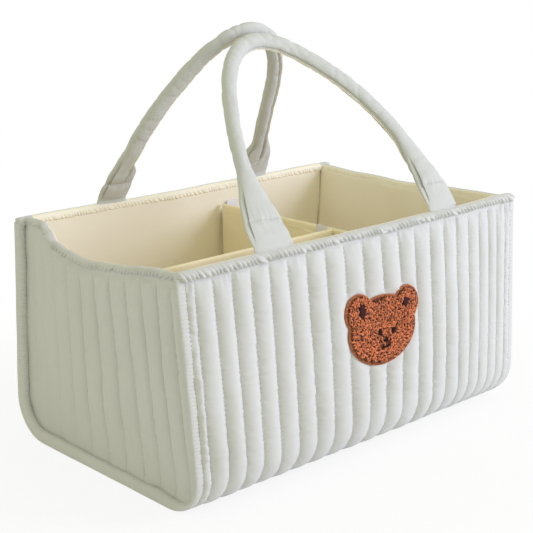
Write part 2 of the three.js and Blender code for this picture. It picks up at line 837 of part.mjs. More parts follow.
// Curved embroidered mouth: a thin arc below the nose
function mouthPoints() {
  const steps = 8;
  const points = [];
  for (const inner of [0, 1]) {
    for (let k = 0; k <= steps; k += 1) {
      const share = inner ? 1 - k / steps : k / steps;
      const angle = Math.PI * (1.15 + 0.7 * share);
      const radius = mouthRadius - inner * mouthWidth;
      points.push(new THREE.Vector2(
        faceShift + radius * Math.cos(angle),
        radius * Math.sin(angle) - mouthDrop,
      ));
    }
  }
  return points;
}

function buildPatch() {
  const patch = new THREE.Group();
  patch.position.set(patchX, -wallLine - channelCrown - wallFullness - fitGap, rimHeight - patchDrop);
  patch.rotation.set(Math.PI / 2, THREE.MathUtils.degToRad(-patchTilt), 0, "YXZ");
  caddy.add(patch);
  addPiece(patch, "patch_backing", extrude(bearOutline(patchBorder), backingThickness), border);
  const face = addPiece(patch, "patch_pile", extrude(bearOutline(0), pileThickness), pile);
  face.position.z = backingThickness + fitGap;
  const details = {
    patch_left_eye: ovalPoints(faceShift - eyeSpread, -eyeDrop, eyeRadius, eyeRadius, 16),
    patch_right_eye: ovalPoints(faceShift + eyeSpread, -eyeDrop, eyeRadius, eyeRadius, 16),
    patch_nose: ovalPoints(faceShift, -noseDrop, noseWidth / 2, noseHeight / 2, 20),
    patch_mouth: mouthPoints(),
    patch_left_inner_ear: ovalPoints(-innerEarSpread, earRise, innerEarRadius, innerEarRadius, 18),
    patch_right_inner_ear: ovalPoints(innerEarSpread, earRise, innerEarRadius, innerEarRadius, 18),
  };
  for (const [name, points] of Object.entries(details)) {
    const detail = addPiece(patch, name, extrude(points, stitchRelief), thread);
    detail.position.z = backingThickness + pileThickness + 2 * fitGap;
  }
}

// Dividers and handles are apart from the body and stay upright
function staysUpright(name) {
  const loose = ["front_handle_c", "back_handle_c", "cross_divider", "long_right"];
  const flap = name.startsWith("cross_") && !name.endsWith("loop_patch");
  return flap || loose.some((start) => name.startsWith(start));
}

// The long divider and its left flap lean with the left end, but aren't spread by the long walls
function leansOnly(name) {
  return name.startsWith("long_divider") || (name.startsWith("long_left") && !name.endsWith("loop_patch"));
}

// Moves the corners of a finished piece to where the soft body stands
function stand(mesh) {
  mesh.geometry.applyMatrix4(mesh.matrixWorld);
  mesh.position.set(0, 0, 0);
  mesh.rotation.set(0, 0, 0);
  caddy.add(mesh);
  const flare = leansOnly(mesh.name) ? 0 : wallFlare;
  const places = mesh.geometry.getAttribute("position");
  for (let k = 0; k < places.count; k += 1) {
    const low = 1 - THREE.MathUtils.clamp(places.getZ(k) / rimHeight, 0, 1);
    const x = places.getX(k) * (1 - (low * endLean) / (bodyLength / 2));
    const y = places.getY(k) * (1 + (low * flare) / wallLine);
    places.setXYZ(k, x, y, places.getZ(k));
  }
  mesh.geometry.computeVertexNormals();
}

buildBody();
buildEnd("left", slackAt);
buildEnd("right", noSlack);
buildLongSide("front");
buildLongSide("back");
buildHandle("front");
buildHandle("back");
buildDividers();
buildPatch();

const pieces = [];
caddy.updateMatrixWorld(true);
caddy.traverse((object) => {
  if (object.isMesh && !staysUpright(object.name)) {
    pieces.push(object);
  }
});
pieces.forEach(stand);

export default caddy;
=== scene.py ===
"""Looks of the quilted caddy, built around its solids. Lengths are millimetres until a mesh is made."""

import math

import bmesh
import bpy
import numpy as np
from mathutils import Matrix, Vector


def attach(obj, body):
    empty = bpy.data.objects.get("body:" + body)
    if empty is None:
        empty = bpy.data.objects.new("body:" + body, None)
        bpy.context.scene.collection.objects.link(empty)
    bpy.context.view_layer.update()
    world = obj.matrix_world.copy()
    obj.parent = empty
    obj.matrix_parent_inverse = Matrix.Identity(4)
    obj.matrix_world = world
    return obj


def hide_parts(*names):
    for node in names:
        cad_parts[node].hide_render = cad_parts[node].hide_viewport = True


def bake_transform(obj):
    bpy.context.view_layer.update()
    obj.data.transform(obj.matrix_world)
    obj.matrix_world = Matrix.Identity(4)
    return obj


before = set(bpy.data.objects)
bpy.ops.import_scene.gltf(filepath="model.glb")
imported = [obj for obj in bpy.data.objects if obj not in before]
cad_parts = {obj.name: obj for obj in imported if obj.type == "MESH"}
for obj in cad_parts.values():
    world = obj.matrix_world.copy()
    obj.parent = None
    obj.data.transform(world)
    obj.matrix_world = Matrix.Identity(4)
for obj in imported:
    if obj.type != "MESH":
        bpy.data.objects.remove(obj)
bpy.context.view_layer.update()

MM = 0.001
TAU = 2 * math.pi
SIDES = ((-1, "left"), (1, "right"))

# Camera, fitted to the outline of the body.
IMAGE_SIZE = 533
FOCAL_PIXELS = 1261.1
CAMERA_PLACE = (-712.81, -799.77, 425.74)
CAMERA_AZIMUTH = math.radians(-41.668)
CAMERA_ELEVATION = math.radians(14.955)
CAMERA_ROLL = math.radians(-1.179)
SENSOR_WIDTH = 36.0
NEAREST_SEEN = 0.01

# Floor and light, in metres and watts.
FLOOR_REACH = 4.0
FLOOR_COLOUR = (0.93, 0.93, 0.93, 1)
FLOOR_FADE_START = 0.22
FLOOR_FADE_END = 0.5
FLOOR_LEAST_WHITE = 0.86
SKY_COLOUR = (0.975, 0.99, 0.785, 1)
SKY_LIGHT = 0.74
WINDOW_COLOUR = (0.70, 0.72, 0.97)
WINDOW_LIGHT = 44.0
WINDOW_PLACE = (1.5, -1.75, 0.85)
WINDOW_AIM = (0, 0, 0.1)
WINDOW_SIZE = (0.8, 1.6)

# Body, as in the solids.
HALF_LENGTH = 192.5
WALL_LINE = 120.0
RIM_HEIGHT = 193.0
BOTTOM_ROUND = 38.0
FLAT_HALF = WALL_LINE - BOTTOM_ROUND
PANEL_END = 183.5
PANEL_TOP = 184.1
UNDER_RIM = 5.0
LAYER_TOP = PANEL_TOP + UNDER_RIM
SHELL_THICKNESS = 2.4
STIFFENER_INSET = 5.7
STIFFENER_THICKNESS = 2.8
LINING_INSET = 7.3
LINING_THICKNESS = 0.9
LINING_OVERLAP = 1.0
LINING_FOLDS = 2.6
END_LINING_FOLDS = 2.0
FOLD_FREE = (6, 40)
LAYER_GAP = 0.4
BASE_LIFT = 0.05
WRAP_CLEARANCE = 0.15
FLANGE_CLEARANCE = 0.1
STITCH_CLEARANCE = 0.05

# Quilting: channels between stitch lines, and how the padding swells, lumps and puckers between them.
WRAP_CHANNELS = 20
WRAP_MARGIN = 5.2
WRAP_DRIFT = 15.4
WRAP_TUCK = 2.0
END_CHANNELS = 12
END_MARGIN = 3.8
CHANNEL_SWELL = 0.055
CHANNEL_STEPS = 12
CROWN = 4.1
CROWN_WIDTH = 15.0
CROWN_DRIFT = 0.2
LUMP_HEIGHT = 0.6
LUMP_LENGTH = 13.0
STITCH_DEPTH = 0.9
PUCKER = 1.3
PUCKER_START = 0.9
PUCKER_REACH = 4.2
PUCKER_LENGTH = 3.4
SCALLOP = 0.45
SCALLOP_REACH = 1.6
LINE_WANDER = 0.7
WANDER_LENGTH = 55.0
MARGIN_BUMPS = 0.5
MARGIN_BUMP_LENGTH = 2.8
FLATTER = 0.45
FLATTER_ACROSS = (20, 170)
FLATTER_DOWN = (-15, 30)
HEM_REACH = 8.0
HEM_FLAT = 0.62
HEM_LENGTH = 2.6
HEM_TUCK = 0.2
WRAP_HEM = 1.1
END_HEM = 0.6
BASE_SINK = 0.2
BASE_GROOVE = 1.3
EDGE_RISE = 4.5
EDGE_RISE_REACH = 3.5
EDGE_FLAT_REACH = 5.0
END_DENTS = 1.3
END_SLACK = 0.8
SLACK_ACROSS = (-10, 85)
SLACK_UP = (15, 65)
FAINT_FROM = 10.0
WALL_FULLNESS = 3.2
FULLNESS_DRIFT = 0.9

# Pinched seams that edge the ends.
FLANGE_WIDTH = 8.7
FLANGE_THICKNESS = 3.0
FLANGE_INSET = FLANGE_THICKNESS / 2 + 0.2
FLANGE_RIDGE = 2.9
FLANGE_STITCH_AT = 125
BACK_BAND = 6.5
BACK_BAND_FROM = (-116, -70)

# How the soft body stands: ends lean in and walls flare at the floor, and one back corner is pulled in.
END_LEAN = 7.0
WALL_FLARE = 8.8
CORNER_PULL = 13.0
CORNER_LIFT = 2.0
CORNER_REACH = 150.0
LEFT_BOW = 7.0
RIGHT_BOW = 3.0
LEFT_RIM_DROP = (
    (-120, 4), (-84, 4.7), (-63, 6.8), (-40, 10.8), (-14, 13.7), (14, 16.5), (42, 14.6), (63, 11.2),
    (73, 3.6), (84, -1.6), (120, 0),
)
RIGHT_RIM_DROP = ((-120, 1), (-60, 2), (0, 5), (60, 3), (120, 0.5))

# Rim roll: its section is out from the wall and up from the rim's top.
RIM_SECTION = (
    (0.4, -9.2), (2.2, -8.8), (3.2, -7.2), (3.3, -5.2), (2.6, -3.0), (1.0, -1.1), (-1.2, -0.1), (-3.6, 0.0),
    (-5.6, -0.5), (-7.1, -1.8), (-7.8, -3.6), (-8.0, -5.4), (-8.0, -7.2), (-7.6, -8.8),
    (-6.2, -9.4), (-3.0, -9.3),
)
RIM_MIDDLE = (-2.6, -4.8)
RIM_IN = 6.5
RIM_SHORT = 2.5
RIM_STEP = 0.5
RIM_GATHER = 4.4
RIM_CREASE = 1.8
RIM_CLOSE = 4.0
RIM_SAG = 0.6
RIM_FULLNESS = 0.6
RIM_FULLNESS_AT = PANEL_TOP - 6
END_RIM_SAG = 0.4
END_RIM_IN = 0.6
WALL_ROLL = {"size": (1.08, 0.74), "turned_in": -2.6}
END_ROLL = {"size": (0.75, 0.66), "turned_in": -5.5}
RIM_OUTER_STITCH = (1.9, -8.9)
RIM_INNER_STITCH = (-7.9, -7.8)

# Handles: pairs are the left and right foot, a flare's start and end, or the tube's start and end.
FRONT_HANDLE = {
    "side": -1, "span": 194.0, "middle": 1.0, "reach": 116.3, "bends": (0.0, -0.1, -0.2, -3.1, 1.3, 0.3),
    "inner_flare": (10.0, 80.0), "outer_flare": (10.0, 76.0), "seam": (20.0, -14.0), "widths": (12.8, 16.3),
    "feet": (39.0, 34.0), "foot_shift": (0.0, 0.0),
}
BACK_HANDLE = {
    "side": 1, "span": 171.0, "middle": -1.2, "reach": 101.7, "bends": (-5.0, 2.4, -3.6, 2.2, -1.0, 1.0),
    "inner_flare": (31.0, 44.0), "outer_flare": (14.0, 60.0), "seam": (38.0, 112.0), "widths": (17.2, 15.0),
    "feet": (31.0, 34.0), "foot_shift": (5.0, -2.0),
}
HANDLE_RISE = 181.0
HANDLE_ROWS = 300
FOLD_LINE = 115.7
FOLD_HEIGHT = 195.8
FOLD_THICKNESS = 4.4
FOOT_THICKNESS = 9.0
FOOT_THICK_FROM = (2.0, 32.0)
FOOT_SHIFT_REACH = 110.0
FOOT_SLIT = 4.0
SLIT_ANGLE = math.radians(26)
SLIT_WIDTH = 0.15
FOOT_OPEN = 3.2
FOOT_FOLDS = 1.1
FOOT_FOLD_LENGTH = 7.5
FOOT_TUCK = 9.0
TUCK_ROWS = 6
TUBE_DEPTH = 10.5
TUBE_FOLDS = 0.9
SEAM_GROOVE = 1.2
SEAM_LAP = 0.6
SEAM_THREAD_AT = 0.32
SEAM_THREAD_RADIUS = 0.5
CROSS_STITCH = 21.0
CROSS_STITCH_PITCH = 3.4
CROSS_STITCH_SWEEP = math.radians(78)
CORE_START = 16.0
CORE_SHARE = 0.6

# Dividers and their tape.
DIVIDER_TOP = 173.0
DIVIDER_INSET = 8.5
DIVIDER_STITCH_DOWN = 7.0
SLEEVE_EDGE = 2.2
SLEEVE_LUMPS = 0.7
FLAP_EDGE = 0.7
TAPE_EDGE = 0.5
PLATE_STEP = 1.6

# Bear head patch.
PATCH_X = 8.6
PATCH_Z = 108.9
PATCH_TILT = math.radians(-3)
HEAD_WIDTH = 79.0
HEAD_HEIGHT = 57.0
EAR_RADIUS = 15.0
EAR_SPREAD = 28.0
EAR_RISE = 17.7
PRESSED = 2.0
BACKING = 0.7
PILE_DOME = 1.6
PILE_INSET = 1.2
BORDER_WIDTH = 2.6
BORDER_STEPS = 900
SATIN_RIDGE = 0.16
SATIN_UNEVEN = 0.25
SATIN_HEIGHT = 1.0
SATIN_ABOVE = 0.2
SATIN_OUT = 0.6
LOOP_SPACING = 2.3
LOOP_ROW = LOOP_SPACING * 0.866
LOOP_STRAY = 0.5
LOOP_FIELD = 90.0
LOOP_COLUMNS = 24
LOOP_SIZE = (1.0, 1.6)
LOOP_HEIGHT = (0.8, 1.5)
LOOP_TONE = (-0.35, 0.4)
LOOP_DROOP = 0.6
YARN_RADIUS = (0.6, 0.85)
FACE_SHIFT = 2.0
EYES = ((FACE_SHIFT - 7.9, -1.0), (FACE_SHIFT + 7.9, -2.0))
EYE_RADIUS = 2.6
NOSE = (FACE_SHIFT - 0.1, -8.2)
NOSE_RADIUS = 2.5
FACE_CLEARANCE = 0.3
SEWN_ABOVE = 0.9
SEWN_RISE = 1.2
SEWN_RIDGE = 0.1
MOUTH = (FACE_SHIFT - 1.2, -5.2)
MOUTH_RADIUS = 8.6
MOUTH_SWEEP = math.radians(36)
MOUTH_TURN = math.radians(10)
MOUTH_WIDTH = 1.6
MOUTH_STEPS = 26
MOUTH_ABOVE = 1.5
MOUTH_RISE = 0.8
INNER_EARS = ((-26.1, 18.8, 3.4, 6.2), (25.5, 19.7, 3.4, 4.0))

# Stitches.
STITCH_PITCH = 3.5
STITCH_LENGTH = 2.4
STITCH_RADIUS = 0.32
STITCH_RISE = 0.28
STITCH_SINK = 0.25
STITCH_SIDES = 5

LATTICE_SIZE = 97
LATTICE = np.random.default_rng(11).uniform(-1.0, 1.0, (LATTICE_SIZE, LATTICE_SIZE))


def noise(u, v=0.0, seed=0):
    """Smooth noise from -1 to 1, the same on each run."""
    u = np.asarray(u, float) + 31.7 * seed
    v = np.asarray(v, float) + 17.9 * seed
    u, v = np.broadcast_arrays(u, v)
    i = np.floor(u).astype(int)
    j = np.floor(v).astype(int)
    a = ease(u - i)
    b = ease(v - j)

    def corner(di, dj):
        return LATTICE[(i + di) % LATTICE_SIZE, (j + dj) % LATTICE_SIZE]

    return mix(mix(corner(0, 0), corner(1, 0), a), mix(corner(0, 1), corner(1, 1), a), b)


def ease(value, low=0.0, high=1.0):
    """0 below low, 1 above high, smooth between."""
    share = np.clip((np.asarray(value, float) - low) / (high - low), 0, 1)
    return share * share * (3 - 2 * share)


def mix(first, second, share):
    """First where the share is 0, second where it is 1."""
    return first * (1 - share) + second * share


def bell(distance, width):
    """1 at no distance, falling off on both sides."""
    return np.exp(-((distance / width) ** 2))


def bulged(value, power):
    """A power that keeps the sign."""
    return np.sign(value) * np.abs(value) ** power


def join(*parts):
    """Points from their coordinates, which may be numbers, rows, columns or grids."""
    return np.stack(np.broadcast_arrays(*parts), -1)


def unit(vectors):
    """Vectors brought to length 1."""
    return vectors / np.linalg.norm(vectors, axis=-1, keepdims=True)


def circle(count):
    """Even angles round a ring."""
    return np.linspace(0, TAU, count, endpoint=False)


def distances(line):
    """Distance along a line at each of its points."""
    steps = np.linalg.norm(np.diff(line, axis=0), axis=1)
    return np.concatenate([[0], np.cumsum(steps)])


def through(knots, value):
    """A smooth line through a few (place, height) knots."""
    result = np.full(np.shape(value), float(knots[0][1]))
    for (start, low), (end, high) in zip(knots, knots[1:]):
        result = result + (high - low) * ease(value, start, end)
    return result


def lean(points, flare=WALL_FLARE):
    """Moves points of a square body to where the solids stand."""
    x, y, z = np.moveaxis(points, -1, 0)
    low = 1 - np.clip(z / RIM_HEIGHT, 0, 1)
    return join(x * (1 - low * END_LEAN / HALF_LENGTH), y * (1 + low * flare / WALL_LINE), z)


def lean_in(points):
    """The long divider leans with the left end, but isn't spread by the long walls."""
    return lean(points, flare=0.0)


def slump(points):
    """Lets the soft ends give: one back corner is pulled in, and the ends belly out."""
    x, y, z = np.moveaxis(points, -1, 0)
    across = np.clip((y + WALL_LINE) / (2 * WALL_LINE), 0, 1)
    up = np.clip(z / RIM_HEIGHT, 0, 1)
    left = 1 - ease(x, -HALF_LENGTH, -HALF_LENGTH + CORNER_REACH)
    right = ease(x, HALF_LENGTH - CORNER_REACH / 2, HALF_LENGTH)
    near_left = 1 - ease(x, -PANEL_END, -PANEL_END + CORNER_REACH / 3)
    corner = across * left * up
    belly = np.sin(math.pi * across) * up**1.5
    bowed = RIGHT_BOW * belly * right - LEFT_BOW * belly * near_left
    return join(x + CORNER_PULL * corner + bowed, y, z + CORNER_LIFT * corner)


def stand(points):
    """Moves points of a square body to where the soft body stands."""
    return slump(lean(points))


# Meshes. A form is points, faces and cloth coordinates, and a cloth is its slot and its materials.


def grid_faces(rows, cols, start=0, closed=False):
    """Quads of a grid of points, closed around its columns or not."""
    r = np.arange(rows - 1)[:, None] * cols
    c = np.arange(cols if closed else cols - 1)
    n = (c + 1) % cols
    return join(r + c, r + n, r + cols + n, r + cols + c).reshape(-1, 4) + start


def shell(outer, inner, uv):
    """Closed form between two grids of the same shape."""
    rows, cols = outer.shape[:2]
    count = rows * cols
    border = np.concatenate([
        np.arange(cols),
        np.arange(1, rows) * cols + cols - 1,
        (rows - 1) * cols + np.arange(cols - 2, -1, -1),
        np.arange(rows - 2, 0, -1) * cols,
    ])
    after = np.roll(border, -1)
    edge = join(border, after, after + count, border + count)
    faces = np.concatenate([grid_faces(rows, cols), grid_faces(rows, cols, count)[:, ::-1], edge])
    points = np.concatenate([outer.reshape(-1, 3), inner.reshape(-1, 3)])
    return points, faces.tolist(), np.tile(uv.reshape(-1, 2), (2, 1))


def tube(rings):
    """Closed form through rings of points, with a middle point in each end."""
    rows, cols = rings.shape[:2]
    points = np.concatenate([rings.reshape(-1, 3), rings[:1].mean(1), rings[-1:].mean(1)])
    faces = grid_faces(rows, cols, closed=True).tolist()
    middle = rows * cols
    last = middle - cols
    for c in range(cols):
        n = (c + 1) % cols
        faces.append([c, n, middle])
        faces.append([last + n, last + c, middle + 1])
    along = distances(rings.mean(1))
    uv = join(along[:, None], distances(rings[rows // 2])).reshape(-1, 2)
    return points, faces, np.concatenate([uv, [[0, 0], [along[-1], 0]]])


def repeated(pattern, size, count):
    """Faces of many small forms of the same number of points, one after the other."""
    return [[start + v for v in face] for start in range(0, size * count, size) for face in pattern]


def smooth_ring(corners, count):
    """Closed smooth line through a few corners."""
    corners = np.asarray(corners, float)
    size = len(corners)
    place = np.linspace(0, size, count, endpoint=False)
    i = np.floor(place).astype(int)
    t = (place - i)[:, None]
    p0, p1, p2, p3 = (corners[(i + k) % size] for k in (-1, 0, 1, 2))
    square = (2 * p0 - 5 * p1 + 4 * p2 - p3) * t**2
    cube = (3 * p1 - p0 - 3 * p2 + p3) * t**3
    return 0.5 * (2 * p1 + (p2 - p0) * t + square + cube)


def make_piece(name, form, cloth, body, node=None, shades=None, cloth_index=None, smooth=True):
    """A mesh piece in the frame. Cloth_index numbers each face's material where there are several."""
    points, faces, uv = form
    slot, *materials = cloth
    mesh = bpy.data.meshes.new(name)
    mesh.from_pydata((points * MM).tolist(), [], faces)
    for material in materials:
        mesh.materials.append(material)
    if cloth_index is not None:
        mesh.polygons.foreach_set("material_index", np.asarray(cloth_index, np.int32))
    if uv is not None:
        corner = np.zeros(len(mesh.loops), np.int32)
        mesh.loops.foreach_get("vertex_index", corner)
        layer = mesh.uv_layers.new(name="cloth")
        layer.data.foreach_set("uv", np.asarray(uv, np.float32)[corner].ravel())
    if shades is not None:
        layer = mesh.attributes.new("shade", "FLOAT", "POINT")
        layer.data.foreach_set("value", np.full(len(points), shades, np.float32))
    work = bmesh.new()
    work.from_mesh(mesh)
    bmesh.ops.recalc_face_normals(work, faces=work.faces)
    work.to_mesh(mesh)
    work.free()
    mesh.polygons.foreach_set("use_smooth", np.full(len(mesh.polygons), smooth))
    mesh.update()
    piece = bpy.data.objects.new(name, mesh)
    bpy.context.scene.collection.objects.link(piece)
    if body:
        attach(piece, body)
    if node:
        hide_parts(node)
    return piece


# Materials.


def connect(tree, node, inputs):
    """Sets a node's inputs, by name or number, to values or to other nodes' outputs."""
    for key, value in inputs.items():
        if isinstance(value, bpy.types.NodeSocket):
            tree.links.new(value, node.inputs[key])
        else:
            node.inputs[key].default_value = value


def add_node(tree, kind, inputs=None, **options):
    """A shader node with its inputs and options set; gives its outputs."""
    node = tree.nodes.new("ShaderNode" + kind)
    for key, value in options.items():
        setattr(node, key, value)
    connect(tree, node, inputs or {})
    return node.outputs


def add_ramp(tree, share, *stops):
    """Colour that follows a share between two stops, each a position and a colour."""
    ramp = tree.nodes.new("ShaderNodeValToRGB")
    for element, (position, colour) in zip(ramp.color_ramp.elements, stops):
        element.position = position
        element.color = (*colour, 1)
    connect(tree, ramp, {"Fac": share})
    return ramp.outputs["Color"]


def new_material(name):
    """A material, its node tree and its shader."""
    material = bpy.data.materials.new(name)
    material.use_nodes = True
    return material, material.node_tree, material.node_tree.nodes["Principled BSDF"]


def cloth_material(name, colour, deep, thread=0.55, weave=0.35, fuzz=0.25):
    """Woven cloth: crossed threads, a little fuzz and slow drift between two near colours."""
    material, tree, shader = new_material(name)
    place = add_node(tree, "TexCoord")
    wave = {"Vector": place["UV"], "Scale": 0.314 / thread, "Distortion": 0.6}
    wave.update({"Detail": 1.0, "Detail Scale": 0.6})
    warp, weft = (add_node(tree, "TexWave", wave, bands_direction=direction)["Fac"] for direction in "XY")
    crossed = add_node(tree, "Math", {0: warp, 1: weft}, operation="MULTIPLY")[0]
    fibre = add_node(tree, "TexNoise", {"Vector": place["Object"], "Scale": 900.0, "Detail": 3.0})["Fac"]
    height = add_node(tree, "Math", {0: fibre, 1: fuzz, 2: crossed}, operation="MULTIPLY_ADD")[0]
    drift = add_node(tree, "TexNoise", {"Vector": place["Object"], "Scale": 14.0, "Detail": 4.0})["Fac"]
    bump = {"Height": height, "Strength": weave, "Distance": 0.0003}
    connect(tree, shader, {
        "Base Color": add_ramp(tree, drift, (0.3, deep), (0.65, colour)),
        "Normal": add_node(tree, "Bump", bump)["Normal"],
        "Roughness": 0.9,
        "Sheen Weight": 0.25,
        "Sheen Roughness": 0.5,
        "Specular IOR Level": 0.2,
    })
    return material


def shaded_material(name, hollow, crest, grain=1400.0, rough=0.85, sheen=0.2, gloss=0.25):
    """Thread or pile whose colour follows a shade kept on its points, with fine fibre grain."""
    material, tree, shader = new_material(name)
    place = add_node(tree, "TexCoord")["Object"]
    shade = add_node(tree, "Attribute", attribute_name="shade")["Fac"]
    fibre = add_node(tree, "TexNoise", {"Vector": place, "Scale": grain, "Detail": 2.0})["Fac"]
    level = add_node(tree, "Math", {0: fibre, 1: 0.3, 2: shade}, operation="MULTIPLY_ADD")[0]
    bump = {"Height": fibre, "Strength": 0.4, "Distance": 0.0002}
    connect(tree, shader, {
        "Base Color": add_ramp(tree, level, (0.12, hollow), (1.0, crest)),
        "Normal": add_node(tree, "Bump", bump)["Normal"],
        "Roughness": rough,
        "Sheen Weight": sheen,
        "Specular IOR Level": gloss,
    })
    return material


def dark_material(name, hollow, crest):
    """Dull dark embroidery thread."""
    return shaded_material(name, hollow, crest, rough=0.7, sheen=0.0, gloss=0.1)


quilt_cloth = cloth_material("quilt_cloth", (0.665, 0.66, 0.645), (0.64, 0.635, 0.615))
# The handles are of the quilt cloth; this darker, greener copy of it is painted shade on the handles.
shaded_handle_cloth = cloth_material("shaded_handle_cloth", (0.60, 0.605, 0.58), (0.575, 0.58, 0.55), weave=0.2)
lining_cloth = cloth_material(
    "lining_cloth", (0.97, 0.905, 0.765), (0.945, 0.87, 0.71), thread=0.4, weave=0.2,
)
# The divider sleeves and flaps are of the lining cloth; this yellower copy of it is painted warm shade, for
# the shade and bounced light inside the body.
sleeve_shaded_lining = cloth_material("sleeve_shaded_lining", (0.97, 0.86, 0.60), (0.945, 0.82, 0.55), thread=0.4, weave=0.2)
felt_cloth = cloth_material(
    "felt_cloth", (0.86, 0.86, 0.84), (0.8, 0.8, 0.78), thread=1.4, weave=0.15, fuzz=0.9,
)
board_grain = cloth_material("board_grain", (0.50, 0.37, 0.22), (0.43, 0.31, 0.18), thread=2.0, weave=0.1)
wadding = cloth_material("wadding", (0.9, 0.89, 0.86), (0.84, 0.83, 0.8), thread=3.0, weave=0.1, fuzz=1.0)
tape_cloth = cloth_material(
    "tape_cloth", (0.88, 0.86, 0.91), (0.84, 0.82, 0.87), thread=0.9, weave=0.8, fuzz=0.8,
)
seam_thread = shaded_material("seam_thread", (0.56, 0.56, 0.54), (0.66, 0.66, 0.64))
lining_thread = shaded_material("lining_thread", (0.78, 0.66, 0.44), (0.93, 0.84, 0.64))
# On the pile, the hollow colour is painted shade deep between the loops and the crest colour is painted light
# on their tops.
pile_thread = shaded_material("pile_thread", (0.05, 0.009, 0.003), (0.78, 0.235, 0.095), grain=2200.0)
border_thread = shaded_material(
    "border_thread", (0.10, 0.02, 0.008), (0.60, 0.20, 0.07), sheen=0.05, rough=0.7,
)
dark_thread = dark_material("dark_thread", (0.010, 0.004, 0.004), (0.035, 0.014, 0.012))
ear_thread = dark_material("ear_thread", (0.025, 0.007, 0.008), (0.075, 0.022, 0.024))

QUILT = ("quilted_cloth", quilt_cloth)
RIM = ("quilted_cloth", quilt_cloth, lining_cloth)
HANDLE = ("quilted_cloth", shaded_handle_cloth)
LINING = ("lining_cloth", lining_cloth)
# Lining cloth with painted warm shade, for the divider sleeves and flaps.
SLEEVE = ("lining_cloth", sleeve_shaded_lining)
FELT = ("interlining_felt", felt_cloth)
BOARD = ("board", board_grain)
FILLING = ("filling", wadding)
TAPE = ("hook_and_loop", tape_cloth)
SEAM = ("quilted_cloth", seam_thread)
RIM_INNER_SEAM = ("quilted_cloth", lining_thread)
LINING_SEAM = ("lining_cloth", lining_thread)
PILE = ("patch_pile", pile_thread)
BORDER = ("patch_border", border_thread)
DARK = ("dark_thread", dark_thread)
EAR = ("dark_thread", ear_thread)


def stitch_rows(name, runs, thread, body, pitch=STITCH_PITCH):
    """Short threads along runs, each a line on a cloth and its normals, their ends let into the cloth."""
    angle = circle(STITCH_SIDES)[:, None]
    blocks = []
    tones = []
    for number, (line, normals) in enumerate(runs):
        normals = np.broadcast_to(normals, line.shape)
        along = distances(line)
        centre = np.arange(pitch * 0.7, along[-1] - pitch * 0.5, pitch)

        def at(distance, source):
            return join(*(np.interp(distance, along, source[:, k]) for k in range(3)))

        tip_a = at(centre - STITCH_LENGTH / 2, line)
        tip_b = at(centre + STITCH_LENGTH / 2, line)
        ahead = tip_b - tip_a
        up = unit(at(centre, normals))
        side = unit(np.cross(ahead, up))
        ring = STITCH_RADIUS * (np.cos(angle) * side[:, None] + np.sin(angle) * up[:, None])
        rings = [(tip_a + share * ahead + STITCH_RISE * up)[:, None] + ring for share in (0.25, 0.75)]
        sunk = [(tip - STITCH_SINK * up)[:, None] for tip in (tip_a, tip_b)]
        blocks.append(np.concatenate([sunk[0], *rings, sunk[1]], 1))
        tones.append(0.55 + 0.3 * noise(centre / 3.0, number * 2.1, 8))
    last = 2 * STITCH_SIDES + 1
    pattern = []
    for k in range(1, STITCH_SIDES + 1):
        n = k % STITCH_SIDES + 1
        pattern.append([0, n, k])
        pattern.append([k, n, n + STITCH_SIDES, k + STITCH_SIDES])
        pattern.append([last, k + STITCH_SIDES, n + STITCH_SIDES])
    laid = np.concatenate(blocks).reshape(-1, 3)
    laid[:, 2] = np.maximum(laid[:, 2], STITCH_CLEARANCE)
    shades = np.repeat(np.concatenate(tones), last + 1)
    faces = repeated(pattern, last + 1, len(laid) // (last + 1))
    make_piece(name, (laid, faces, None), thread, body, shades=shades)


# Quilted walls.


def u_path(inset, wall_rows, arc_rows, base_rows):
    """Columns of y, z, normal y, normal z and length, from the front's top under the base to the back's."""
    radius = BOTTOM_ROUND - inset
    turn = np.linspace(0, math.pi / 2, arc_rows, endpoint=False)
    c, s = np.cos(turn), np.sin(turn)
    wall = join(inset - WALL_LINE, np.linspace(LAYER_TOP, BOTTOM_ROUND, wall_rows, endpoint=False), -1.0, 0.0)
    arc = join(-FLAT_HALF - radius * c, BOTTOM_ROUND - radius * s, -c, -s)
    base = join(np.linspace(-FLAT_HALF, FLAT_HALF, base_rows), inset, 0.0, -1.0)
    front = np.concatenate([wall, arc])
    whole = np.concatenate([front, base, front[::-1] * (-1, 1, -1, 1)])
    return [*whole.T[..., None], distances(whole[:, :2])[:, None]]


def raised(x, section, height):
    """Points above a section of the body, along its normal."""
    y, z, ny, nz = section
    return join(x, y + ny * height, z + nz * height)


def channel_lines(count, half, drift=0.0):
    """Stitch lines of a panel, closer together towards its sides."""
    share = np.linspace(-1, 1, count + 1)
    return half * (share + CHANNEL_SWELL * np.sin(math.pi * share)) + drift * (1 - share**2)


def channel_columns(count):
    """Channel number and place across the channel of each column of points, closer near the stitch lines."""
    even = np.arange(CHANNEL_STEPS) / CHANNEL_STEPS
    place = 0.3 * even + 0.7 * (0.5 - 0.5 * np.cos(math.pi * even))
    channel = np.repeat(np.arange(count), CHANNEL_STEPS)
    return np.append(channel, count - 1), np.append(np.tile(place, count), 1.0)


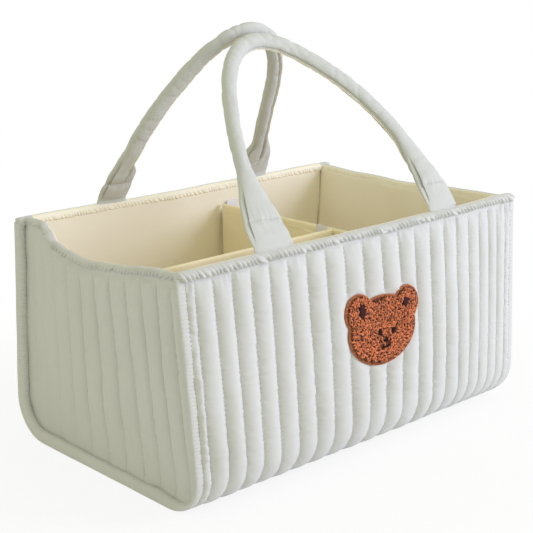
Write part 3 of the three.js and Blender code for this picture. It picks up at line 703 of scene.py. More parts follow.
def quilt(t, width, s, channel, seed):
    """Height of the padding above the stitch lines: a crown, soft lumps and puckers beside each line."""
    profile = (1 - np.abs(2 * t - 1) ** 2.1) ** 0.75
    crown = np.minimum(width / CROWN_WIDTH, 1.0) * CROWN
    crown = crown * (1 + CROWN_DRIFT * noise(s / 48, channel * 1.9, seed))
    lumps = LUMP_HEIGHT * noise(s / LUMP_LENGTH, channel * 2.3 + t * 0.8, seed + 1) * profile

    def pucker(distance, line):
        grip = np.exp(-distance / PUCKER_REACH) * (1 - np.exp(-distance / PUCKER_START))
        pulled = np.cos(TAU * s / STITCH_PITCH + 2.0 * line) * np.exp(-distance / SCALLOP_REACH)
        return PUCKER * grip * noise(s / PUCKER_LENGTH, line * 5.3, seed + 2) - SCALLOP * pulled

    beside = pucker(t * width, channel) + pucker((1 - t) * width, channel + 1)
    return crown * profile + lumps + beside - STITCH_DEPTH * (1 - profile), profile


def stray(s, channel, t, count, seed):
    """How far the stitch lines beside a place wander sideways there, nothing at the panel's own edges."""

    def wander(line):
        inside = (line > 0) & (line < count)
        return LINE_WANDER * noise(s / WANDER_LENGTH, line * 3.7, seed) * inside

    return mix(wander(channel), wander(channel + 1), t)


def hemmed(height, below, along, z, depth, seed, wall=1.0):
    """Padding pressed flat and puckered below the rim, and tucked into it above the panel's top."""
    hem = np.exp(-np.clip(below, 0, None) / HEM_REACH) * wall
    height = height * (1 - HEM_FLAT * hem) + depth * hem * noise(along / HEM_LENGTH, z / 9, seed)
    return np.where(below > 0, height, height * HEM_TUCK)


def wall_fullness(x, z):
    """How far a long wall bellies out between its seams."""
    along = np.clip(0.5 + x / (2 * PANEL_END), 0, 1)
    up = np.clip(z / PANEL_TOP, 0, 1)
    soft = FULLNESS_DRIFT * noise(x / 70, z / 60, 5)
    return (WALL_FULLNESS + soft) * np.sin(math.pi * along) ** 0.7 * np.sin(math.pi * up) ** 0.7


def patch_radius(angle):
    """Distance from the middle of the bear's head to its outline, ears included."""
    c = np.cos(angle)
    s = np.sin(angle)
    reach = 1 / np.sqrt((c / (HEAD_WIDTH / 2)) ** 2 + (s / (HEAD_HEIGHT / 2)) ** 2)
    for side, _ in SIDES:
        along = c * side * EAR_SPREAD + s * EAR_RISE
        off = EAR_SPREAD**2 + EAR_RISE**2 - along**2
        hit = along + np.sqrt(np.maximum(EAR_RADIUS**2 - off, 0))
        reach = np.where((off < EAR_RADIUS**2) & (along > 0), np.maximum(reach, hit), reach)
    return reach


def outside_patch(a, b):
    """How far a place of the patch lies outside the head's outline."""
    return np.hypot(a, b) - patch_radius(np.arctan2(b, a))


def patch_local(x, z):
    """Coordinates from the middle of the patch, along its own tilted axes."""
    c = math.cos(PATCH_TILT)
    s = math.sin(PATCH_TILT)
    return (x - PATCH_X) * c + (z - PATCH_Z) * s, (z - PATCH_Z) * c - (x - PATCH_X) * s


def press_under_patch(height, profile, x, z, front):
    """The padding is pressed flat where the patch is sewn on."""
    grip = (1 - ease(outside_patch(*patch_local(x, z)), -1.0, 7.0)) * front
    return mix(height, PRESSED * (0.75 + 0.25 * profile), grip)


def build_wrap():
    """Front wall, base and back wall in one quilted strip, and its stitches."""
    *section, s = u_path(0.0, 150, 40, 28)
    _, z, ny, nz = section
    count = WRAP_CHANNELS + 2
    channel, t = channel_columns(count)
    edge = PANEL_END + WRAP_TUCK
    inside = channel_lines(WRAP_CHANNELS, PANEL_END - WRAP_MARGIN, WRAP_DRIFT)
    lines = np.concatenate([[-edge], inside, [edge]])
    width = lines[channel + 1] - lines[channel]
    x = lines[channel] + t * width + stray(s, channel, t, count, 3)
    height, profile = quilt(t, width, s, channel, 20)
    height = height * (1 - FLATTER * ease(x, *FLATTER_ACROSS))
    margin = (channel == 0) | (channel == count - 1)
    height = height + MARGIN_BUMPS * noise(s / MARGIN_BUMP_LENGTH, t * 1.5, 24) * profile * margin
    height = height * (1 - FLATTER * ease(BOTTOM_ROUND - z, *FLATTER_DOWN))
    wall = ny**2
    height = hemmed(height, PANEL_TOP - z, x, z, WRAP_HEM, 31, wall)
    height = press_under_patch(height, profile, x, z, ny < -0.5)
    full = wall_fullness(x, z) * wall
    height = mix(height + full, -BASE_SINK - BASE_GROOVE * (1 - profile), ease(-nz, 0.55, 0.98))
    outer = raised(x, section, height)
    outer[..., 2] = np.maximum(outer[..., 2], WRAP_CLEARANCE)
    outer = stand(outer)
    inner = stand(raised(x, section, full - SHELL_THICKNESS))
    make_piece("wrap_quilt", shell(outer, inner, join(x, s)), QUILT, "caddy", "outer_wrap")
    normals = join(0.0, ny, nz)[:, 0]
    runs = []
    for line in range(1, count):
        column = outer[:, line * CHANNEL_STEPS]
        covered = (outside_patch(*patch_local(column[:, 0], column[:, 2])) < -1) & (ny[:, 0] < -0.5)
        shown = (z[:, 0] < PANEL_TOP) & ~covered
        for part in np.split(np.arange(len(z)), np.flatnonzero(np.diff(shown.astype(int))) + 1):
            if len(part) > 6 and shown[part[0]]:
                runs.append((column[part], normals[part]))
    stitch_rows("wrap_stitches", runs, SEAM, "caddy")


def rim_drop(y, side):
    """How far the rim of an end hangs below the rim height."""
    return through(LEFT_RIM_DROP if side < 0 else RIGHT_RIM_DROP, y)


def end_low(y, inset):
    """Lower edge of an end panel at y, set in from the body's section."""
    radius = BOTTOM_ROUND - inset
    beyond = np.clip(np.abs(y) - FLAT_HALF, 0, radius)
    return BOTTOM_ROUND - np.sqrt(radius**2 - beyond**2)


def end_rows(side, y, rows, inset):
    """Heights of the rows of points on an end at each y, and the height of its lower edge."""
    low = end_low(y, inset)
    high = LAYER_TOP - rim_drop(y, side)
    return low + (high - low) * np.linspace(0, 1, rows)[:, None], low


def build_end(side, word):
    """A quilted end whose padding goes slack towards the back, and its stitches."""
    name = f"{word}_end_quilt"
    seed = 40 + side
    channel, t = channel_columns(END_CHANNELS)
    half = WALL_LINE - END_MARGIN
    lines = channel_lines(END_CHANNELS, half)
    width = lines[channel + 1] - lines[channel]
    y = lines[channel] + t * width
    z, low = end_rows(side, y, 78, END_MARGIN)
    height, _ = quilt(t, width, z, channel, seed)
    slack = (1 - END_SLACK * ease(y, *SLACK_ACROSS)) * (0.45 + 0.55 * ease(z, *SLACK_UP))
    edge = np.minimum(z - low, half - np.abs(y))
    turned_up = EDGE_RISE * (1 + 0.4 * noise((y + z) / 14, 0.0, seed + 5)) * np.exp(-edge / EDGE_RISE_REACH)
    height = height * slack * (1 - np.exp(-edge / EDGE_FLAT_REACH)) + turned_up
    below_rim = PANEL_TOP - rim_drop(y, side) - z
    height = hemmed(height, below_rim, y, z, END_HEM, 33)
    dents = END_DENTS * noise(y / 60, z / 50, seed + 3) * np.clip(edge / 25, 0, 1)
    x = side * (PANEL_END + dents)
    outer = stand(join(x + side * height, y + stray(z, channel, t, END_CHANNELS, seed), z))
    inner = stand(join(x - side * SHELL_THICKNESS, y, z))
    make_piece(name, shell(outer, inner, join(y, z)), QUILT, "caddy", f"{word}_end_panel")
    runs = []
    for line in range(1, END_CHANNELS):
        if lines[line] <= FAINT_FROM:
            column = outer[3:, line * CHANNEL_STEPS]
            runs.append((column[below_rim[3:, line * CHANNEL_STEPS] > 0], (side, 0, 0)))
    stitch_rows(name + "_stitches", runs, SEAM, "caddy")


def build_flange(side, word):
    """A pinched seam round an end: ridged across, broader at the back, and topstitched."""
    name = f"{word}_flange"
    *section, s = u_path(FLANGE_INSET, 300, 60, 160)
    y, _, ny, nz = section
    angle = circle(20)
    across = bulged(np.cos(angle), 0.8)
    thick = bulged(np.sin(angle), 0.8)
    ridge = np.abs(np.sin(math.pi * (s / FLANGE_RIDGE + 0.5 * noise(s / 14, 0.0, 51 + side)))) ** 0.7 - 0.6
    swell = 1 + 0.36 * ridge + 0.2 * noise(s / 22, 0.0, 53 + side)
    broad = BACK_BAND * ease(y, *BACK_BAND_FROM) * (1 + 0.25 * noise(s / 16, 0.0, 55 + side))
    width = FLANGE_WIDTH / 2 * (1 + 0.05 * ridge + 0.08 * noise(s / 24, 0.0, 57 + side))
    x = side * (HALF_LENGTH - FLANGE_WIDTH / 2 + across * width)
    rings = raised(x, section, FLANGE_THICKNESS / 2 * thick * swell - broad * np.clip(-thick, 0, 1))
    rings[..., 2] = np.maximum(rings[..., 2], FLANGE_CLEARANCE)
    rings = stand(rings)
    make_piece(name, tube(rings), QUILT, "caddy", f"{word}_seam_flange")
    groove = int(np.argmin(np.abs(np.degrees(angle) - FLANGE_STITCH_AT)))
    run = (rings[2:-2, groove], join(0.0, ny, nz)[2:-2, 0])
    stitch_rows(name + "_stitches", [run], SEAM, "caddy")


# Rolled and gathered rim.


def rim_rings(along, seed, size):
    """Distance out from the wall and height below the top of the roll's section, at each place along it."""
    ring = smooth_ring(RIM_SECTION, 28)
    out, high = ring.T
    away = unit(ring - RIM_MIDDLE)
    outer_face = ease(out, -2.0, 1.0)
    inner_face = ease(-out, 4.0, 7.0)
    low = ease(-high, 0.5, 7.5)
    a = along[:, None]
    warp = a / RIM_GATHER + 0.9 * noise(a / 11, 0.0, seed) + 0.1 * high
    crease = (1 - np.abs(np.sin(math.pi * warp)) ** 0.8) * (1 + 0.6 * noise(a / 7, 0.0, seed + 3))
    gather = -crease * RIM_CREASE * ((0.5 + 1.5 * low) * outer_face + 0.5 * low * inner_face)
    gather = gather + 0.35 * noise(a / 4.1, high / 5, seed + 1) * (0.3 + 0.7 * outer_face)
    gather = gather + 0.6 * noise(a / 30, high / 12, seed + 2)
    tip = np.clip(np.minimum(a - along[0], along[-1] - a) / RIM_CLOSE, 0, 1)
    close = 1 - (1 - np.sqrt(tip * (2 - tip))) * 0.25
    section = [
        (middle + (plain - middle) * close + outward * gather) * scale
        for middle, plain, outward, scale in zip(RIM_MIDDLE, ring.T, away.T, size)
    ]
    return section, ring


def build_rim(word, lengthways, side, seed):
    """One side of the rim, of outer cloth, and of lining cloth from where the roll is turned in."""
    name = f"{word}_rim_roll"
    roll = WALL_ROLL if lengthways else END_ROLL
    if lengthways:
        along = np.arange(RIM_SHORT - HALF_LENGTH, HALF_LENGTH - RIM_SHORT + RIM_STEP / 5, RIM_STEP)
        drop = RIM_SAG * noise(along / 45, 0.0, seed + 4)
    else:
        along = np.linspace(RIM_IN - WALL_LINE, WALL_LINE - RIM_IN, 450)
        drop = rim_drop(along, side) + END_RIM_SAG * noise(along / 30, 0.0, seed + 4)
    (out, high), ring = rim_rings(along, seed, roll["size"])
    z = RIM_HEIGHT - drop[:, None] + high
    a = along[:, None]
    if lengthways:
        bulge = wall_fullness(a, RIM_FULLNESS_AT) * RIM_FULLNESS
        rings = stand(join(a, side * (WALL_LINE + out + bulge), z))
    else:
        rings = stand(join(side * (PANEL_END + out - END_RIM_IN), a, z))
    form = tube(rings)
    cols = len(ring)
    turned_in = ring[:, 0] < roll["turned_in"]
    in_the_open = np.abs(along) < PANEL_END - LINING_INSET
    index = [int(len(f) == 4 and turned_in[f[0] % cols] and in_the_open[f[0] // cols]) for f in form[1]]
    make_piece(name, form, RIM, "caddy", f"{word}_rim", cloth_index=index)
    for where, spot, thread in (
        ("outer", RIM_OUTER_STITCH, SEAM),
        ("inner", RIM_INNER_STITCH, RIM_INNER_SEAM),
    ):
        column = int(np.argmin(np.sum((ring - spot) ** 2, axis=1)))
        facing = np.sign(spot[0]) * side
        normal = (0, facing, 0) if lengthways else (facing, 0, 0)
        stitch_rows(f"{name}_{where}_stitches", [(rings[4:-4, column], normal)], thread, "caddy")


# Lining and the stiffening inside the walls.


def build_wrap_layer(name, node, inset, thickness, cloth, rows, cols, span, part=None, folds=0.0):
    """A layer of the strip, softly folded inside, and its flat size. Part picks front, base or back."""
    path = u_path(inset, *rows)
    if part:
        facing = {"front": -path[2], "back": path[2], "base": -path[3]}[part]
        path = [column[facing[:, 0] > 0.999] for column in path]
    *section, s = path
    _, z, ny, nz = section
    x = np.linspace(-span, span, cols)
    full = wall_fullness(x, z) * ny**2
    crease = noise((x + 0.5 * s) / 34, s / 80, 61) + 0.4 * noise(x / 13, s / 40, 62)
    lift = folds * (0.5 + 0.36 * crease) ** 2 * ease(LAYER_TOP - z, *FOLD_FREE) - full
    lift = np.where(nz < -0.9, np.maximum(lift, BASE_LIFT), lift)
    inner = stand(raised(x, section, -lift))
    outer = stand(raised(x, section, thickness - lift))
    piece = make_piece(name, shell(inner, outer, join(x, s)), cloth, "caddy", node)
    return piece, (2 * span * MM, (s[-1, 0] - s[0, 0]) * MM)


def build_end_layer(name, node, side, inset, thickness, cloth, rows, cols, folds=0.0):
    """A layer of an end, its inner face softly folded, and its flat size and area."""
    half = WALL_LINE - inset - LAYER_GAP
    y = np.linspace(-half, half, cols)
    z, _ = end_rows(side, y, rows, inset + LAYER_GAP)
    x = side * (PANEL_END - inset)
    crease = noise(y / 24, z / 65, 65 + side) + 0.5 * noise(y / 10, z / 35, 66 + side)
    below = LAYER_TOP - rim_drop(y, side) - z
    lift = folds * (0.5 + 0.33 * crease) ** 2 * ease(below, *FOLD_FREE)
    inner = stand(join(x - side * lift, y, z))
    outer = stand(join(x - side * (lift - thickness), y, z))
    piece = make_piece(name, shell(inner, outer, join(y, z)), cloth, "caddy", node)
    height = LAYER_TOP - inset
    trimmed = 2 * half * height - (BOTTOM_ROUND - inset) ** 2 * (2 - math.pi / 2)
    drop = rim_drop(y, side).mean() * 2 * half
    return piece, (2 * half * MM, height * MM), (trimmed - drop) * MM * MM


# Handles.


def handle_path(handle):
    """Middle line of a handle in its leaning plane: across, up, tucked down, and length along it."""
    t = np.linspace(0, math.pi, 240)
    u = -handle["span"] / 2 * np.cos(t)
    r = HANDLE_RISE * np.sin(t)
    du = np.gradient(u, t)
    dr = np.gradient(r, t)
    off = sum(bend * np.sin((k + 1) * t) for k, bend in enumerate(handle["bends"])) / np.hypot(du, dr)
    u = handle["middle"] + u - dr * off
    r = r + du * off
    along = distances(join(u, r))
    even = np.linspace(0, along[-1], HANDLE_ROWS)
    tuck = np.linspace(-FOOT_TUCK, -1.0, TUCK_ROWS)
    u = np.pad(np.interp(even, along, u), TUCK_ROWS, mode="edge")
    r = np.pad(np.interp(even, along, r), TUCK_ROWS)
    down = np.concatenate([tuck, np.zeros(HANDLE_ROWS), tuck[::-1]])
    place = np.concatenate([tuck, even, even[-1] - tuck[::-1]])
    return u, r, down, place


def handle_angles():
    """Places round the tube, from the inside of the loop, closer where the layers of the foot part."""
    even = np.linspace(0, 360, 96, endpoint=False)
    close = np.array([1, 2, 5])
    close = np.concatenate([close, 360 - close, 180 - close, 180 + close])
    return np.radians(np.sort(np.concatenate([even, close])))


def angle_from(angle, middle):
    """Angle from a middle, the short way round."""
    return np.angle(np.exp(1j * (angle - middle)))


def build_cord(name, line, facing, radius, cloth, body):
    """A thin thread that lies along a line on a cloth."""
    ahead = unit(np.gradient(line, axis=0))
    up = unit(facing - ahead * np.sum(facing * ahead, axis=1, keepdims=True))
    across = np.cross(ahead, up)
    angle = circle(8)[:, None]
    rings = line[:, None] + radius * (np.cos(angle) * across[:, None] + np.sin(angle) * up[:, None])
    make_piece(name, tube(rings), cloth, body, shades=0.5)


def ring_places(rings, angles, target):
    """A point of each ring, at an angle of its own."""
    count = len(angles)
    spot = np.interp(np.mod(target, TAU), np.append(angles, TAU), np.arange(count + 1))
    low = np.floor(spot).astype(int)
    rows = np.arange(len(rings))
    return mix(rings[rows, low % count], rings[rows, (low + 1) % count], (spot - low)[:, None])


def build_handle(name, handle):
    """A strap with flat, two-layered feet that is rolled into a tube, its long seam turned inwards."""
    side = handle["side"]
    slant = math.asin(handle["reach"] / HANDLE_RISE)
    seed = 70 + side
    u, r, down, place = handle_path(handle)
    total = place[0] + place[-1]
    from_foot = np.minimum(place, total - place)
    left_foot = place < total / 2
    shift = np.where(left_foot, handle["foot_shift"][0], -handle["foot_shift"][1])
    u = u + shift * (1 - ease(from_foot, 0.0, FOOT_SHIFT_REACH))
    du = np.gradient(u, place)
    dr = np.gradient(r, place)
    for tucked, rising in ((slice(TUCK_ROWS), 1), (slice(-TUCK_ROWS, None), -1)):
        du[tucked] = 0
        dr[tucked] = rising
    turn = np.gradient(np.unwrap(np.arctan2(dr, du)), place)
    foot_wide = np.where(left_foot, *handle["feet"])
    du, dr = du / np.hypot(du, dr), dr / np.hypot(du, dr)
    columns = (u, r, down, place, from_foot, du, dr, turn, foot_wide)
    u, r, down, place, from_foot, du, dr, turn, foot_wide = (column[:, None] for column in columns)

    # Size and roundness of the section, from the flat foot to the tube.
    angle = handle_angles()
    rolled = ease(from_foot, *handle["outer_flare"])
    rolled_inside = ease(from_foot, *handle["inner_flare"])
    square = 2.15 - 0.15 * rolled
    share = np.clip(place / total, 0, 1)
    tube_wide = mix(*handle["widths"], ease(share, 0.25, 0.75))
    foot_deep = mix(FOLD_THICKNESS, FOOT_THICKNESS, ease(from_foot, *FOOT_THICK_FROM))
    half_wide = mix(foot_wide, tube_wide, np.where(np.cos(angle) > 0, rolled_inside, rolled)) / 2
    half_deep = mix(foot_deep, TUBE_DEPTH, rolled) / 2
    c = bulged(np.cos(angle), 2 / square)
    s = bulged(np.sin(angle), 2 / square)

    # Soft lumps, folds in the bends, the seam and its lap, the open layers and the stitching of the foot.
    seam_on_tube = np.radians(mix(*handle["seam"], ease(share, 0.2, 0.8)))
    seam_at = mix(math.pi / 2, seam_on_tube, rolled)
    from_seam = angle_from(angle, seam_at)
    soft = 0.35 * noise(place / 18, angle * 0.9, seed) + 0.25 * noise(place / 6, angle * 1.6, seed + 1)
    folds = bell(noise(place / 9.0, angle * 0.3, seed + 2), 0.16)
    crease = -TUBE_FOLDS * folds * (0.35 + 0.65 * np.clip(-turn * 60, 0, 1))
    pinch = 0.3 * noise(place / 5.5, 0.0, seed + 3) * bell(from_seam, 0.5) * rolled
    opened = ease(from_foot, CROSS_STITCH, CROSS_STITCH + 5)
    opened = opened * (1 - ease(from_foot, 30, handle["outer_flare"][1]))
    groove = (SEAM_GROOVE * rolled + FOOT_OPEN * opened) * bell(from_seam, 0.05 + 0.08 * rolled)
    lap = SEAM_LAP * ease(from_seam, 0.0, 0.3) * (1 - ease(from_seam, 0.3, 1.2)) * rolled
    edge = bell(angle_from(angle, side * SLIT_ANGLE), SLIT_WIDTH)
    far_edge = bell(angle_from(angle, math.pi - side * SLIT_ANGLE), SLIT_WIDTH)
    slit = FOOT_SLIT * (edge + far_edge) * ease(from_foot, 1.0, 12.0) * (1 - ease(from_foot, 34.0, 54.0))
    near_stitch = np.exp(-np.abs(from_foot - CROSS_STITCH) / 5)
    drawn = noise(half_wide * c / 2.6, place / 9, seed + 4) * near_stitch
    bands = FOOT_FOLDS * noise(place / FOOT_FOLD_LENGTH, 0.5 * np.cos(angle), seed + 5)
    bands = bands * ease(from_foot, 1.0, 8.0)
    swell = (soft + crease + pinch) * (0.7 + 0.3 * rolled) + (drawn + bands) * (1 - rolled) - groove + lap
    wide = c * half_wide + np.cos(angle) * (swell * 0.8 - slit)
    deep = s * half_deep * (1 - 0.3 * bell(from_foot - CROSS_STITCH, 1.3)) + np.sin(angle) * swell

    rise = r - du * wide
    tilt = slant * ease(from_foot, -1.0, 5.0)
    rings = join(
        u + dr * wide,
        side * (FOLD_LINE - rise * math.sin(slant) - deep * np.cos(tilt)),
        FOLD_HEIGHT + rise * math.cos(slant) + down - deep * np.sin(tilt),
    )
    cover = make_piece(name + "_tube", tube(rings), HANDLE, None, name + "_cover")
    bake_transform(cover)
    padded = rings[from_foot[:, 0] > handle["inner_flare"][0] + CORE_START]
    middle = padded.mean(1, keepdims=True)
    core = middle + (padded - middle) * CORE_SHARE
    make_piece(name + "_filling", tube(core[::3, ::3]), FILLING, name, name + "_core")

    outward = rings - rings.mean(1, keepdims=True)
    runs = []
    for from_this_foot in (place, total - place):
        row = np.argmin(np.abs(from_this_foot - CROSS_STITCH))
        for middle in (math.pi / 2, 1.5 * math.pi):
            shown = np.abs(angle - middle) < CROSS_STITCH_SWEEP
            runs.append((rings[row][shown], outward[row][shown].mean(0)))
    stitch_rows(name + "_stitches", runs, SEAM, name, pitch=CROSS_STITCH_PITCH)
    # A tan thread beside the long seam: real seam thread, whose tan colour also stands in for the warm shade
    # along the seam, as painted shade.
    rows = np.flatnonzero(rolled[:, 0] > 0.5)
    beside = seam_at[rows, 0] + SEAM_THREAD_AT
    line = ring_places(rings[rows], angle, beside)
    facing = ring_places(outward[rows], angle, beside)
    build_cord(name + "_seam", line, facing, SEAM_THREAD_RADIUS, LINING_SEAM, name)


# Dividers, flaps and tape.


def plate(lo, hi, thin, edge, lumps, seed, low_edge):
    """Two faces of a thin soft plate in a box, and its cloth coordinates. Low_edge shapes its foot."""
    wide = [k for k in range(3) if k != thin]
    (left, bottom), (right, top) = lo[wide], hi[wide]

    def places(size):
        rounded = edge * np.array([0, 0.25, 0.6])
        inside = np.linspace(edge, size - edge, max(6, int(size / PLATE_STEP)))
        return np.concatenate([rounded, inside, (size - rounded)[::-1]])

    a = left + places(right - left)
    low = low_edge(a) if low_edge else np.full(a.shape, bottom)
    b = low + (top - low) * (places(top - bottom) / (top - bottom))[:, None]
    near = np.minimum(np.minimum(a - left, right - a), np.minimum(b - low, top - b))
    rounding = np.clip(near / edge, 0, 1)
    half = (hi[thin] - lo[thin]) / 2 * np.sqrt(rounding * (2 - rounding)) * 0.98 + 0.02
    middle = (lo[thin] + hi[thin]) / 2 + lumps * noise(a / 22, b / 26, seed) * np.clip(near / 8, 0, 1)
    faces = []
    for depth in (middle + half, middle - half):
        parts = [a, b]
        parts.insert(thin, depth)
        faces.append(join(*parts))
    return *faces, join(a, b)


def node_points(node):
    """Corners of a solid in the frame."""
    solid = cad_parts[node]
    return np.array([solid.matrix_world @ v.co for v in solid.data.vertices], float) / MM


def square_box(node, stance):
    """Box that a solid fills when its lean is taken back out."""
    points = node_points(node)
    if stance:
        ones = np.ones_like(points)
        ones[:, 2] = points[:, 2]
        points = points / stance(ones) * ones
    return points.min(0), points.max(0)


def build_plate(
    name, node, thin, cloth, body, edge, stance=None, fill=None, lumps=0.0, seed=0, low_edge=None,
):
    """A soft plate in the place of a thin solid, its faces and its size. Stance is how the solid leans."""
    lo, hi = square_box(node, stance)
    front, back, uv = plate(lo, hi, thin, edge, lumps, seed, low_edge)
    if stance:
        move = stand if stance is lean else stance
        front = move(front)
        back = move(back)
    piece = make_piece(name, shell(front, back, uv), cloth, body, node)
    return piece, front, back, hi - lo


def build_divider(word, thin, **form):
    """A divider's padded sleeve, with a row of stitches under its top on both faces, and its board."""
    body = f"{word}_divider"
    name = f"{word}_sleeve"
    _, front, back, _ = build_plate(
        name, body + "_sleeve", thin, SLEEVE, body, SLEEVE_EDGE, fill=0.3, lumps=SLEEVE_LUMPS, **form,
    )
    runs = []
    for grid, facing in ((front, 1.0), (back, -1.0)):
        heights = grid[:, grid.shape[1] // 2, 2]
        row = int(np.argmin(np.abs(heights - (DIVIDER_TOP - DIVIDER_STITCH_DOWN))))
        normal = np.zeros(3)
        normal[thin] = facing
        runs.append((grid[row, 4:-4], normal))
    stitch_rows(name + "_stitches", runs, LINING_SEAM, body)
    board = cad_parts[body + "_board"].data
    board.materials.clear()
    board.materials.append(board_grain)


def build_flap(word, thin):
    """A divider's fastening flap, the hook tape on it and the loop tape that it presses on."""
    stance = lean_in if word == "long_left" else None
    body = f"{word}_flap"
    flap, _, _, size = build_plate(f"{word}_flap_cloth", body, thin, SLEEVE, body, FLAP_EDGE, stance)
    build_plate(f"{word}_hook_tape", f"{word}_hook_patch", thin, TAPE, body, TAPE_EDGE, stance)
    on_divider = word == "long_right"
    carrier = "cross_divider" if on_divider else "caddy"
    loop_stance = None if on_divider else lean
    build_plate(f"{word}_loop_tape", f"{word}_loop_patch", thin, TAPE, carrier, TAPE_EDGE, loop_stance)


def build_sewn_end(name, node):
    """A handle's sewn-in end, a hidden solid that gives with the soft body."""
    points = node_points(node)
    faces = [list(p.vertices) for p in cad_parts[node].data.polygons]
    make_piece(name, (slump(points), faces, points[:, [0, 2]]), HANDLE, "caddy", node, smooth=False)


# Bear head patch.


def on_patch(a, b, lift):
    """A point of the patch, lift above the pressed wall."""
    x = PATCH_X + a * math.cos(PATCH_TILT) - b * math.sin(PATCH_TILT)
    z = PATCH_Z + a * math.sin(PATCH_TILT) + b * math.cos(PATCH_TILT)
    return stand(join(x, -(WALL_LINE + wall_fullness(x, z) + PRESSED) - lift, z))


def dome(middle, radius_of, rise, base, rings, count, ridge=0.0, ridges=0):
    """A low closed dome on the patch with an outline given by radius_of(angle)."""
    angle = circle(count)
    reach = radius_of(angle)

    def row(share, lift):
        a = middle[0] + reach * share * np.cos(angle)
        b = middle[1] + reach * share * np.sin(angle)
        return on_patch(a, b, lift)

    rows = [row(1, base - 0.8)]
    for k in range(rings):
        share = 1 - k / rings
        lift = base + rise * math.sqrt(1 - share**2) + ridge * np.sin(ridges * angle) * (share > 0.2)
        rows.append(row(share, lift))
    return tube(np.stack(rows))


def pile_lift(a, b):
    """Height of the pile's ground above the pressed wall."""
    rho = np.hypot(a, b) / patch_radius(np.arctan2(b, a))
    return BACKING + PILE_DOME * np.sqrt(np.clip(1 - rho**2, 0, 1))


def mouth_line():
    """Angles along the mouth and its line on the patch."""
    sweep = MOUTH_TURN + np.linspace(-MOUTH_SWEEP, MOUTH_SWEEP, MOUTH_STEPS)
    return sweep, MOUTH[0] + MOUTH_RADIUS * np.sin(sweep), MOUTH[1] - MOUTH_RADIUS * np.cos(sweep)


def build_patch_ground():
    """The backing that is sewn to the wall."""
    angle = circle(220)
    reach = patch_radius(angle)
    under = -0.2
    steps = (
        (0.05, under), (0.5, under), (1.0, under), (1.01, 0.4),
        (1.0, BACKING), (0.5, BACKING), (0.05, BACKING),
    )
    rows = [on_patch(reach * k * np.cos(angle), reach * k * np.sin(angle), lift) for k, lift in steps]
    make_piece("patch_ground", tube(np.stack(rows)), BORDER, "caddy", "patch_backing", shades=0.4)


def build_satin_edge():
    """Close satin stitches over the patch's edge."""
    angle = circle(BORDER_STEPS)
    reach = patch_radius(angle)
    line = join(reach * np.cos(angle), reach * np.sin(angle))
    closed = np.concatenate([line, line[:1]])
    along = distances(closed)
    even = np.linspace(0, along[-1], BORDER_STEPS, endpoint=False)
    line = join(*(np.interp(even, along, closed[:, k]) for k in range(2)))
    ahead = unit(np.roll(line, -3, 0) - np.roll(line, 3, 0))
    sides = 12
    ring = circle(sides)
    thread = SATIN_RIDGE * np.cos(np.arange(BORDER_STEPS) * math.pi)[:, None]
    uneven = SATIN_UNEVEN * noise(even / 2.0, 0.0, 81)[:, None]
    wide = (BORDER_WIDTH / 2 + thread + uneven) * np.cos(ring) - BORDER_WIDTH / 2 + SATIN_OUT
    high = (SATIN_HEIGHT + thread) * np.sin(ring)
    a = line[:, :1] + ahead[:, 1:] * wide
    b = line[:, 1:] - ahead[:, :1] * wide
    points = on_patch(a, b, BACKING + SATIN_ABOVE + high).reshape(-1, 3)
    faces = grid_faces(BORDER_STEPS + 1, sides, closed=True) % len(points)
    tones = 0.22 + 0.5 * ease(np.cos(ring), 0.1, 0.8) + 0.25 * noise(even / 0.9, 0.0, 82)[:, None]
    make_piece("patch_satin_edge", (points, faces.tolist(), None), BORDER, "caddy", shades=tones.ravel())


